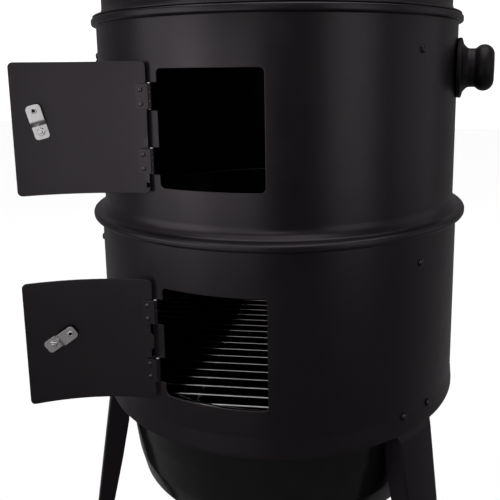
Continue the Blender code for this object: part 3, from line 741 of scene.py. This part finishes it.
def legs():
    """Tapered folded legs: upright in the drum, stepped out under its rim, then splayed."""
    top_z = BOWL_RIM_Z - 0.6
    bend_z = RIM_Z + 6.0
    neck_z = RIM_Z - 8.0
    narrowing = LEG_NECK_HALF_W - LEG_FOOT_HALF_W
    outer = [(top_z, LEG_R), (bend_z, LEG_R, 9.0), (neck_z, LEG_NECK_R, 22.0), (0.0, FOOT_R)]
    widths = [(top_z, LEG_TOP_HALF_W, 12.5), (bend_z, LEG_TOP_HALF_W, 12.5)]
    widths.append((neck_z, LEG_NECK_HALF_W, 20.0))
    for share, depth in ((0.14, 24.0), (0.35, 22.0), (1.0, 11.0)):
        widths.append((neck_z * (1.0 - share), LEG_NECK_HALF_W - narrowing * share, depth))
    spine = split(fillet(outer, False, 8), 12.0, False)
    levels = []
    for point in spine:
        for above, below in zip(widths, widths[1:]):
            if below[0] - 1e-6 <= point.x <= above[0] + 1e-6:
                share = (above[0] - point.x) / (above[0] - below[0])
                half_w = above[1] + (below[1] - above[1]) * share
                depth = above[2] + (below[2] - above[2]) * share
                levels.append((point.x, point.y, half_w, depth))
                break
    for side, azimuth in zip(SIDES, SIDE_AZIMUTHS):
        place = turned(azimuth) @ turned(180.0)
        points = []
        for z, radius, half_w, depth in levels:
            line = leg_line(radius, half_w, depth)
            outline = line + shifted(line, -LEG_T, False)[::-1]
            points += [place @ Vector((-p.x, p.y, z)) for p in outline]
        count = len(points) // len(levels)
        faces = []
        for end in (0, count * (len(levels) - 1)):
            for i in range(count // 2 - 1):
                faces.append([end + i, end + i + 1, end + count - 2 - i, end + count - 1 - i])
        faces += bands(count, len(levels))
        foot = fillet([(-16.6, -30.0, 5.0), (16.6, -30.0, 5.0), (16.6, -0.9, 0.5), (-16.6, -0.9, 0.5)])
        foot = [Vector((p.x, -FOOT_R - p.y)) for p in foot]
        part = join((points, faces), prism(foot, 0.0, LEG_T, turned(azimuth), 0.3))
        piece(f"leg_{side}_visual", part, "satin_black", "lower_section", f"leg_{side}", 50.0)
        for k, offset in enumerate((-LEG_BOLT_SPREAD, LEG_BOLT_SPREAD)):
            name = f"leg_bolt_{side}_{k + 1}"
            seat = radial_frame(azimuth + offset, LOWER_R + 0.5, LEG_BOLT_Z)
            part = bolt_part(-5.2)
            piece(f"{name}_visual", part, "bolt_black", "lower_section", name, 30.0, seat)


def side_knobs():
    """Turned knobs on the sides of the upper drum, each held by a screw and washer from inside."""
    bulb = []
    for tilt in range(-48, 91, 6):
        a = math.radians(tilt)
        bulb.append((13.4 + 10.6 * math.cos(a), 26.6 + 10.4 * math.sin(a)))
    profile = fillet([
        (0.0, 13.0), (2.9, 13.0, 0.3), (2.9, 0.3), (31.2, 0.3, 0.6), (31.5, 4.4, 1.8), (24.5, 6.4, 4.0),
        (20.2, 10.6, 5.0), (20.0, 17.6, 0.4), *bulb, (0.0, 37.0),
    ], False, 8)
    inner = -SHEET - BRACKET_GAP
    screw = fillet([
        (0.0, inner - 3.2), (1.0, inner - 3.2, 0.2), (4.4, inner - 2.9, 1.6), (5.2, inner - 0.8, 0.6),
        (5.2, inner, 0.2), (2.6, inner), (2.6, 12.4), (0.0, 12.8),
    ], False, 4)
    washer = [(2.7, inner), (7.5, inner), (7.5, inner + 0.8), (2.7, inner + 0.8)]
    held = join(lathe(screw, 32), lathe(washer, 48))
    for side, azimuth in (("left", -90.0), ("right", 90.0)):
        seat = radial_frame(azimuth, UPPER_R, SIDE_KNOB_Z)
        name = f"side_knob_{side}"
        piece(f"{name}_visual", lathe(profile, 96), "black_bakelite", "upper_section", name, 40.0, seat)
        name = f"side_knob_screw_{side}"
        piece(f"{name}_visual", held, "zinc_steel", "upper_section", name, 40.0, seat)


# ---- doors


def curl(start, sweep):
    """The outer line of a hinge knuckle round its pin."""
    path = []
    for k in range(CURL_STEPS + 1):
        a = math.radians(start - sweep * k / CURL_STEPS)
        path.append(Vector((CURL_R * math.cos(a), CURL_R * math.sin(a))))
    return path


def knuckle_spans(middle):
    """The heights of a leaf's knuckles: the middle one, or the two outer ones."""
    third = 2.0 * HINGE_HALF_H / 6.0
    gap = 0.3
    if middle:
        return [(-third + gap / 2, third - gap / 2)]
    return [(-HINGE_HALF_H, -third - gap), (third + gap, HINGE_HALF_H)]


def hinge_leaf(name, tail, line, middle, plane, body, swing):
    """A flat leaf under its screws, and its knuckles curled round the pin."""
    whole = tail + line
    outline = whole + shifted(whole, -LEAF_T, False)[::-1]
    parts = [prism(outline, low, high, plane, 0.12) for low, high in knuckle_spans(middle)]
    far = tail[0].x
    near = tail[-1].x * 0.9
    low_y = tail[0].y - LEAF_T
    corners = [(far, -HINGE_HALF_H, 1.8), (far, HINGE_HALF_H, 1.8)]
    corners += [(near, HINGE_HALF_H, 0.3), (near, -HINGE_HALF_H, 0.3)]

    def place(x, z, depth):
        return plane @ Vector((x, low_y + depth, z))

    parts.append(sheet([fillet(corners)], place, LEAF_T, (), 0.2))
    part = join(*parts)
    if swing is not None:
        part = moved(part, swing)
    piece(f"{name}_visual", part, "satin_black", body, name, 40.0)


def door(prefix, wall_r, centre_z):
    """A curved door standing open, with its hinges, latch and knob."""
    section = f"{prefix}_section"
    body = f"{prefix}_door"
    pin_az = pin_azimuth(wall_r)
    pin = radial_frame(pin_az, wall_r + PIN_OUT, 0.0)
    pivot = pin.to_translation()
    swing = Matrix.Translation(pivot) @ turned(-DOOR_OPEN) @ Matrix.Translation(-pivot)
    outer = wall_r + DOOR_GAP + SHEET
    start = pin_az + math.degrees(DOOR_START / wall_r)
    middle_z = centre_z + DOOR_RAISE

    def place(x, z, depth):
        return swing @ around(start + math.degrees(x / wall_r), outer - depth, middle_z + z)

    corners = [(0.0, -DOOR_HALF_H, CORNER_R), (DOOR_ARC, -DOOR_HALF_H, CORNER_R)]
    corners += [(DOOR_ARC, DOOR_HALF_H, CORNER_R), (0.0, DOOR_HALF_H, CORNER_R)]
    latch_x = DOOR_ARC - LATCH_FROM_EDGE
    latch_z = -LATCH_DROP - DOOR_RAISE
    loops = [split(fillet(corners, True, 8), 3.6), circle(latch_x, latch_z, 4.0)]
    extra = grid((1.8, -DOOR_HALF_H + 3.0), (DOOR_ARC - 1.8, DOOR_HALF_H - 3.0), 3.6, 9.5)
    piece(f"{prefix}_door_visual", sheet(loops, place, SHEET, extra), "satin_black", body, body)

    upright = Matrix(((1, 0, 0, 0), (0, 0, 1, 0), (0, 1, 0, 0), (0, 0, 0, 1)))
    screws = []
    rivets = []
    for spot, z in (("top", centre_z + HINGE_OFFSET), ("bottom", centre_z - HINGE_OFFSET)):
        plane = Matrix.Translation((0.0, 0.0, z)) @ pin @ upright
        tail = [Vector((12.0, -CURL_R)), Vector((0.0, -CURL_R))]
        line = curl(-90.0, 279.0)[1:]
        on_door = MIDDLE_ON_DOOR[spot]
        hinge_leaf(f"{prefix}_door_leaf_{spot}", tail, line, on_door, plane, body, swing)
        low = -PIN_OUT - SHEET - 1.2
        tail = [Vector((-14.0, low)), Vector((-CURL_R, low))]
        line = curl(180.0, 248.0)
        hinge_leaf(f"{prefix}_frame_leaf_{spot}", tail, line, not on_door, plane, section, None)
        profile = fillet([
            (0.0, -12.0), (PIN_R, -12.0, 0.3), (PIN_R, 11.8), (2.0, 11.8, 0.2), (1.8, 12.7, 0.5),
            (0.0, 12.8),
        ], False, 3)
        spindle = Matrix.Translation((0.0, 0.0, z)) @ Matrix.Translation(pivot)
        name = f"{prefix}_hinge_pin_{spot}"
        piece(f"{name}_visual", lathe(profile, 20), "zinc_steel", section, name, 40.0, spindle)
        head = fillet([
            (0.0, -0.1), (2.8, -0.1), (2.8, 0.5, 0.4), (1.9, 1.9, 1.2), (0.6, 2.1, 0.2), (0.5, 1.4),
            (0.0, 1.4),
        ], False, 4)
        for offset in (-SCREW_OFFSET, SCREW_OFFSET):
            spot_z = Matrix.Translation((7.4, -CURL_R, offset))
            inward = Matrix.Rotation(math.pi / 2.0, 4, "X")
            screws.append(moved(lathe(head, 20), swing @ plane @ spot_z @ inward))
            spot_z = Matrix.Translation((-9.0, low - LEAF_T + 0.9, offset))
            rivets.append(moved(lathe(head, 20), plane @ spot_z @ inward))
    piece(f"{prefix}_door_hinge_screws", join(*screws), "bolt_black", body, (), 36.0)
    piece(f"{prefix}_frame_hinge_screws", join(*rivets), "satin_black", section, (), 36.0)

    latch_az = start + math.degrees(latch_x / wall_r)
    seat = swing @ radial_frame(latch_az, wall_r + DOOR_GAP, centre_z - LATCH_DROP)
    latch(prefix, seat)


def latch(prefix, seat):
    """The joggled tongue inside the door, and the turn knob with its spindle."""
    body = f"{prefix}_latch"
    turn = seat @ turned(-TONGUE_ANGLES[prefix])

    def height(x):
        share = min(max((x - 5.6) / 4.4, 0.0), 1.0)
        return TONGUE_SEAT - TONGUE_RISE * share * share * (3.0 - 2.0 * share)

    def place(x, y, depth):
        slope = (height(x + 0.1) - height(x - 0.1)) / 0.2
        lean = math.sqrt(1.0 + slope * slope)
        return turn @ Vector((y, x + slope * depth / lean, height(x) - depth / lean))

    corners = [(-7.0, -6.5, 3.2), (25.0, -6.5, 3.8), (25.0, 6.5, 3.8), (-7.0, 6.5, 3.2)]
    loops = [split(fillet(corners, True, 7), 1.0), circle(0.0, 0.0, 3.3)]
    loops.append(circle(TONGUE_DIMPLE, 0.0, 1.5, 16))
    strip = sheet(loops, place, TONGUE_T, grid((-6.0, -5.5), (24.0, 5.5), 0.8, 3.0), 0.25)
    lip = fillet([(1.5, 0.0), (2.9, 0.0, 0.5), (2.3, 0.9, 0.4), (1.5, 0.7, 0.2)], True, 4)
    face = Matrix.Translation((0.0, TONGUE_DIMPLE, TONGUE_SEAT - TONGUE_RISE - TONGUE_T))
    face = turn @ face @ Matrix.Rotation(math.pi, 4, "X")
    part = join(strip, moved(lathe(lip, 24), face))
    piece(f"{prefix}_latch_tongue_visual", part, "zinc_steel", body, f"{prefix}_latch_tongue", 36.0)
    out = SHEET
    profile = fillet([
        (0.0, -3.2), (3.0, -3.2, 0.3), (3.0, out + 0.3), (11.3, out + 0.3, 0.4), (12.0, out + 1.8, 0.9),
        (8.0, out + 3.8, 2.5), (7.4, out + 7.2, 3.0), (10.4, out + 10.6, 2.6), (11.0, out + 14.4, 2.6),
        (8.6, out + 17.2, 2.0), (0.0, out + 18.0),
    ], False, 6)
    name = f"{prefix}_latch_knob"
    piece(f"{name}_visual", lathe(profile, 72), "black_bakelite", body, name, 42.0, seat)
    square = fillet([(p.x, p.y, 0.6) for p in circle(0.0, 0.0, 4.3, 4)])
    nut = prism(square, -3.4, -1.7, Matrix.Identity(4), 0.3)
    stub = fillet([(0.0, -4.4), (1.6, -4.4, 0.5), (1.9, -3.2), (0.0, -3.2)], False, 3)
    part = join(nut, lathe(stub, 16))
    piece(f"{prefix}_latch_nut", part, "zinc_steel", body, (), 36.0, turn)


# ---- lid


def dome_point(angle, gap=0.0):
    """Radius and height of the dome at an angle above its edge, a gap outside its skin."""
    a = math.radians(angle)
    return ((LID_R + gap) * math.cos(a), DOME_Z + (LID_RISE + gap) * math.sin(a))


def dome_frame(azimuth, angle):
    """The frame of something that stands on the dome, with Z along the dome's outward normal."""
    a = math.radians(angle)
    r, z = dome_point(angle)
    tilt = math.atan2(math.sin(a) / LID_RISE, math.cos(a) / LID_R)
    return radial_frame(azimuth, r, z) @ Matrix.Rotation(-tilt, 4, "X")


def lid():
    """The domed lid with its vent, damper, knob and thermometer."""
    flange = TOP_RIM_Z + 0.3
    bottom = TOP_RIM_Z - 9.0
    outside = fillet([
        (LID_R - SHEET, bottom + 2.0), (LID_R - SHEET, bottom, 0.6), (LID_R, bottom, 0.6),
        (LID_R, flange, 0.3), (UPPER_R + 3.0, flange, 0.9), (UPPER_R + 3.4, flange + 2.0, 1.0),
        (LID_R + 2.4, flange + 3.4, 2.4), (LID_R, flange + 9.0, 10.0), (LID_R, DOME_Z - 4.0),
    ], False, 6)
    outside += [Vector(dome_point(angle / 2.0)) for angle in range(0, 180, 5)]
    outside.append(Vector((0.0, DOME_Z + LID_RISE)))
    inside = [Vector(dome_point(angle / 2.0, -SHEET)) for angle in range(0, 180, 5)]
    inside.append(Vector((0.0, DOME_Z + LID_RISE - SHEET)))
    part = lathe(outside + inside[::-1], LID_STEPS)
    shell = piece("lid_shell_visual", part, "satin_black", "lid", "lid_shell")
    vent = dome_frame(VENT_AZIMUTH, VENT_ANGLE)
    spots = []
    for k in range(3):
        a = math.radians(THIRD * k)
        spots.append((VENT_HOLE_CIRCLE * math.cos(a), VENT_HOLE_CIRCLE * math.sin(a)))
    plug = lathe([(0.0, -9.0), (VENT_HOLE_R, -9.0), (VENT_HOLE_R, 6.0), (0.0, 6.0)], 32)
    pierce(shell, [moved(plug, vent @ Matrix.Translation((x, y, 0.0))) for x, y in spots])

    def place(x, y, depth):
        return vent @ Vector((x, y, 1.8 - depth))

    loops = [circle(0.0, 0.0, DAMPER_R, 72)] + [circle(x, y, VENT_HOLE_R, 32) for x, y in spots]
    disc = sheet(loops, place, 1.3, grid((-24.0, -24.0), (24.0, 24.0), 6.0, 6.0), 0.3)
    piece("vent_damper_visual", disc, "zinc_steel", "vent_damper", "vent_damper", 36.0)
    rivet = fillet([
        (0.0, -4.6), (2.0, -4.6, 0.3), (2.0, 2.0), (4.6, 2.0, 0.2), (4.3, 3.2, 1.0), (2.6, 4.2, 1.4),
        (0.0, 4.4),
    ], False, 5)
    piece("vent_rivet_visual", lathe(rivet, 32), "zinc_steel", "lid", "vent_rivet", 40.0, vent)

    top = DOME_Z + LID_RISE
    profile = fillet([
        (0.0, top + 0.4), (24.0, top + 0.4, 0.5), (24.5, top + 3.2, 1.4), (17.6, top + 6.6, 5.0),
        (16.4, top + 12.0, 8.0), (20.3, top + 19.0, 9.0), (23.6, top + 25.0, 6.0), (22.8, top + 31.8, 4.5),
        (16.5, top + 35.4, 5.0), (0.0, top + 36.0),
    ], False, 8)
    stud = [(0.0, top - 6.0), (2.6, top - 6.0), (2.6, top + 1.0), (0.0, top + 1.0)]
    nut = prism(circle(0.0, 0.0, 5.2, 6), top - 5.6, top - 2.6, Matrix.Identity(4), 0.4)
    washer = lathe([(0.0, top - 2.6), (8.0, top - 2.6), (8.0, top - 1.6), (0.0, top - 1.6)], 36)
    piece("lid_knob_visual", lathe(profile, 112), "black_bakelite", "lid", "lid_knob", 42.0)
    piece("lid_knob_nut", join(lathe(stud, 20), nut, washer), "zinc_steel", "lid", (), 36.0)
    thermometer(dome_frame(0.0, GAUGE_ANGLE))


def thermometer(place):
    """A dial thermometer: cup, stem and nut, dial with its marks, needle and glass."""
    base = 1.2
    cup = fillet([
        (0.0, base + 5.0), (0.0, base), (17.0, base, 1.0), (25.0, base + 4.6, 3.0), (26.0, base + 14.0, 1.1),
        (23.4, base + 14.0, 1.1), (23.4, base + 7.5), (0.0, base + 6.5),
    ], False, 7)[1:]
    stem = fillet([(0.0, -40.0), (2.4, -40.0, 1.8), (2.4, base + 1.0), (0.0, base + 1.0)], False, 5)
    nut = prism(circle(0.0, 0.0, 6.4, 6), -5.6, -1.7, Matrix.Identity(4), 0.4)
    part = join(lathe(cup, 96), lathe(stem, 24), nut)
    piece("thermometer_case_visual", part, "zinc_steel", "lid", "thermometer_case", 40.0, place)
    dial = base + 8.0
    disc = fillet([(0.0, dial), (23.0, dial), (23.0, dial + 0.8, 0.2), (0.0, dial + 0.8)], False, 3)
    piece("thermometer_dial_visual", lathe(disc, 96), "dial_white", "lid", "thermometer_dial", 36.0, place)
    marks = []
    for k in range(31):
        foot = 17.0 if k % 5 == 0 else 19.2
        turn = Matrix.Rotation(math.radians(NEEDLE_COLD - 8.0 * k), 4, "Z")
        bar = fillet([(-0.3, 21.2), (0.3, 21.2), (0.3, foot), (-0.3, foot)])
        marks.append(prism(bar, dial + 0.75, dial + 0.9, turn))
    ring = lathe([(21.5, dial + 0.75), (21.9, dial + 0.75), (21.9, dial + 0.9), (21.5, dial + 0.9)], 96)
    piece("thermometer_marks", join(ring, *marks), "dial_print", "lid", (), 36.0, place)
    hub = dial + 1.1
    cold = Matrix.Rotation(math.radians(NEEDLE_COLD), 4, "Z")
    pointer = fillet([
        (-1.3, -6.0, 0.8), (1.3, -6.0, 0.8), (0.9, 0.0), (0.2, 18.0, 0.1), (-0.2, 18.0, 0.1), (-0.9, 0.0),
    ])
    cap = fillet([(0.0, hub), (2.6, hub), (2.4, hub + 1.0, 0.5), (0.0, hub + 1.4)], False, 4)
    part = join(lathe(cap, 32), prism(pointer, hub + 0.1, hub + 0.7, cold, 0.1))
    name = "thermometer_needle"
    piece(f"{name}_visual", part, "needle_red", name, name, 40.0, place)
    glass = hub + 1.8
    pane = fillet([
        (0.0, glass), (23.1, glass, 0.2), (23.1, glass + 1.2, 0.4), (12.0, glass + 1.65, 30.0),
        (0.0, glass + 1.8),
    ], False, 5)
    name = "thermometer_glass"
    piece(f"{name}_visual", lathe(pane, 96), "gauge_glass", "lid", name, 40.0, place)


# ---- bowls and grates


def bowls():
    """The water bowl with its rolled rim wire, and the deep charcoal bowl."""
    z = WATER_RIM_Z
    water = fillet([
        (174.6, z - 4.0), (175.0, z, 1.2), (185.0, z, 0.7), (186.0, z + 0.8, 0.5), (185.4, z + 1.7, 0.6),
        (174.6, z + 1.6, 1.0), (171.0, z - 25.0, 40.0), (160.0, z - 52.0, 30.0), (138.0, z - 68.0, 30.0),
        (110.0, z - 74.0, 30.0), (0.0, z - 74.0),
    ], False, 8)
    wire = tube(hoop(175.6, z + 1.7), 1.1, closed=True)
    piece("water_bowl_rim_wire", wire, "zinc_steel", "water_bowl")
    under = fillet([
        (0.0, z - 75.5), (110.5, z - 75.5, 30.0), (139.0, z - 69.4, 30.0), (161.2, z - 53.0, 30.0),
        (172.5, z - 25.4, 40.0), (174.6, z - 4.4),
    ], False, 8)
    name = "water_bowl"
    piece(f"{name}_visual", lathe(water + under, LID_STEPS), "black_enamel", name, name, 40.0)
    rim = BOWL_RIM_Z

    def deep(inset):
        """The wall and the turn into the floor, an inset inside the outer skin."""
        reach = 67.0 - inset
        line = [(184.5 - inset, rim - 31.0, 60.0), (181.6 - inset, rim - 71.0, 60.0)]
        line.append((176.8 - inset, rim - 108.0, 40.0))
        for tilt in range(38, 91, 4):
            a = math.radians(tilt)
            line.append((118.3 + reach * math.cos(a), rim - 90.0 - reach * math.sin(a)))
        return line

    floor = rim - 157.0
    outside = fillet([
        (183.5, rim + SHEET, 1.4), (191.2, rim + SHEET, 0.6), (192.0, rim + 0.6, 0.5), (191.0, rim, 0.5),
        (185.0, rim, 1.6), *deep(0.0), (0.0, floor),
    ], False, 6)
    inside = fillet([(0.0, floor + SHEET), *deep(SHEET)[::-1], (183.4, rim + 0.4)], False, 6)
    name = "charcoal_bowl"
    piece(f"{name}_visual", lathe(outside + inside, LID_STEPS), "black_enamel", name, name, 40.0)


def grate(name, ring_r, base_z, phase=0.0, turn=0.0):
    """Round bars welded on a round ring and two cross bars."""
    parts = [tube(hoop(ring_r - HOOP_WIRE_R, base_z + HOOP_WIRE_R), HOOP_WIRE_R, closed=True)]

    def steps_along(offset):
        reach = math.sqrt(ring_r * ring_r - offset * offset) - 5.0
        return [-reach + 2.0 * reach * k / 8 for k in range(9)]

    count = int((ring_r - 2.0 * HOOP_WIRE_R) / BAR_PITCH)
    for i in range(-count, count + 1):
        y = i * BAR_PITCH + phase
        bar = [Vector((x, y, base_z + 4.0)) for x in steps_along(y)]
        parts.append(tube(bar, BAR_R, end=1.4))
    for x in (-CROSS_BAR_X, CROSS_BAR_X):
        bar = [Vector((x, y, base_z + 2.3)) for y in steps_along(x)]
        parts.append(tube(bar, CROSS_BAR_R, end=1.4))
    piece(f"{name}_visual", join(*parts), "plated_wire", name, name, 50.0, turned(turn), False)


# ---- studio

SOFT_TINT = (1.0, 0.965, 0.995)
SEEN_WHITE = 1.14
FLOOR_HALF = 6.0
FLOOR_Z = -0.0005
FLOOR_SHARE = 0.16
# name, place, the point it faces, (width, height), radiance
LIGHTS = (
    ("KeyLeft", (-1.30, -1.32, 0.80), (0.0, 0.0, 0.62), (1.50, 1.60), 1.00),
    ("DoorCard", (-0.12, -0.52, 0.53), (-0.12, 0.0, 0.53), (0.42, 0.32), 0.76),
    ("LowerDoorCard", (-0.12, -0.52, 0.22), (-0.12, 0.0, 0.22), (0.40, 0.28), 0.14),
    ("Inside", (0.30, -1.15, 0.99), (-0.05, 0.1, 0.47), (0.40, 0.08), 5.0),
    ("KeyRight", (1.72, -0.98, 0.80), (0.0, 0.0, 0.62), (1.00, 1.60), 0.84),
    ("FillRight", (1.90, 0.55, 0.80), (0.0, 0.0, 0.45), (1.40, 1.60), 0.26),
    ("BackCard", (-0.68, 1.88, 0.75), (0.0, 0.0, 0.50), (1.00, 1.50), 1.20),
    ("Top", (0.0, -0.20, 2.40), (0.0, 0.0, 0.40), (2.40, 2.40), 1.60),
)

CAMERA_PLACE = (224.6, -686.9, 605.3)
CAMERA_TURN = (18.45, 9.56, -0.65)
CAMERA_LENS = 44.208
CAMERA_SHIFT = (-0.05, -0.15)


def softbox(name, place, target, size, radiance):
    """A rectangular light facing a point, with the brightness its surface shows."""
    light = bpy.data.lights.new(name, "AREA")
    light.shape = "RECTANGLE"
    light.size, light.size_y = size
    light.energy = radiance * math.pi * size[0] * size[1]
    light.color = SOFT_TINT
    made = bpy.data.objects.new(name, light)
    made.location = Vector(place)
    made.rotation_euler = (Vector(place) - Vector(target)).to_track_quat("Z", "Y").to_euler()
    made.visible_camera = False
    bpy.context.scene.collection.objects.link(made)


def studio():
    """White surroundings for the eye, dim ones for the light, and a pale floor."""
    world = bpy.data.worlds.new("Studio")
    bpy.context.scene.world = world
    world.use_nodes = True
    tree = world.node_tree
    tree.nodes.clear()
    out = node(tree, "ShaderNodeOutputWorld")
    seen = node(tree, "ShaderNodeBackground", in_Color=(1.0, 1.0, 1.0, 1.0), in_Strength=SEEN_WHITE)
    felt = node(tree, "ShaderNodeBackground", in_Color=(*SOFT_TINT, 1.0))
    direction = node(tree, "ShaderNodeTexCoord").outputs["Generated"]
    behind = node(tree, "ShaderNodeVectorMath", operation="DOT_PRODUCT")
    behind.inputs[1].default_value = (-0.32, 0.95, 0.0)
    tree.links.new(direction, behind.inputs[0])
    dim = spread(tree, behind.outputs["Value"], 0.012, 0.16, -0.35, 0.9)
    tree.links.new(dim, felt.inputs["Strength"])
    path = node(tree, "ShaderNodeLightPath")
    mix = node(tree, "ShaderNodeMixShader")
    tree.links.new(path.outputs["Is Camera Ray"], mix.inputs["Fac"])
    tree.links.new(felt.outputs["Background"], mix.inputs[1])
    tree.links.new(seen.outputs["Background"], mix.inputs[2])
    tree.links.new(mix.outputs["Shader"], out.inputs["Surface"])

    corners = ((-1, -1), (1, -1), (1, 1), (-1, 1))
    mesh = bpy.data.meshes.new("Floor")
    mesh.from_pydata([(FLOOR_HALF * x, FLOOR_HALF * y, FLOOR_Z) for x, y in corners], [], [(0, 1, 2, 3)])
    floor = bpy.data.objects.new("Floor", mesh)
    bpy.context.scene.collection.objects.link(floor)
    paper = finish_of(
        "PaleFloor", ((0.82, 0.82, 0.82), (0.84, 0.84, 0.84)), (0.8, 0.9), 1.2, 400.0, (0.02, 0.0002),
    )
    tree = paper.node_tree
    tree.nodes["Principled BSDF"].inputs["Specular IOR Level"].default_value = 0.0
    clear = node(tree, "ShaderNodeBsdfTransparent")
    mix = node(tree, "ShaderNodeMixShader", in_Fac=FLOOR_SHARE)
    tree.links.new(clear.outputs["BSDF"], mix.inputs[1])
    tree.links.new(tree.nodes["Principled BSDF"].outputs["BSDF"], mix.inputs[2])
    tree.links.new(mix.outputs["Shader"], tree.nodes["Material Output"].inputs["Surface"])
    mesh.materials.append(paper)
    for spec in LIGHTS:
        softbox(*spec)


def camera():
    """At the photograph's viewing angle, turned left and down from the +Y direction."""
    data = bpy.data.cameras.new("Camera")
    data.sensor_width = 36.0
    data.lens = CAMERA_LENS
    data.shift_x, data.shift_y = CAMERA_SHIFT
    data.clip_start = 0.02
    made = bpy.data.objects.new("Camera", data)
    yaw, pitch, roll = (math.radians(angle) for angle in CAMERA_TURN)
    level = math.cos(pitch)
    forward = Vector((-math.sin(yaw) * level, math.cos(yaw) * level, -math.sin(pitch)))
    made.location = Vector(CAMERA_PLACE) * MM
    turn = forward.to_track_quat("-Z", "Y").to_matrix().to_4x4() @ Matrix.Rotation(roll, 4, "Z")
    made.rotation_euler = turn.to_euler()
    bpy.context.scene.collection.objects.link(made)
    bpy.context.scene.camera = made


upper_drum()
lower_drum()
brackets_and_bolts()
legs()
side_knobs()
door("upper", UPPER_R, UPPER_OPENING_Z)
door("lower", LOWER_R, LOWER_OPENING_Z)
lid()
bowls()
grate("upper_grate", UPPER_GRATE_R, UPPER_GRATE_Z)
grate("lower_grate", LOWER_GRATE_R, BOWL_RIM_Z + SHEET + 0.3, LOWER_GRATE_PHASE, LOWER_GRATE_TURN)
studio()
camera()
bpy.context.scene.view_settings.view_transform = "Standard"
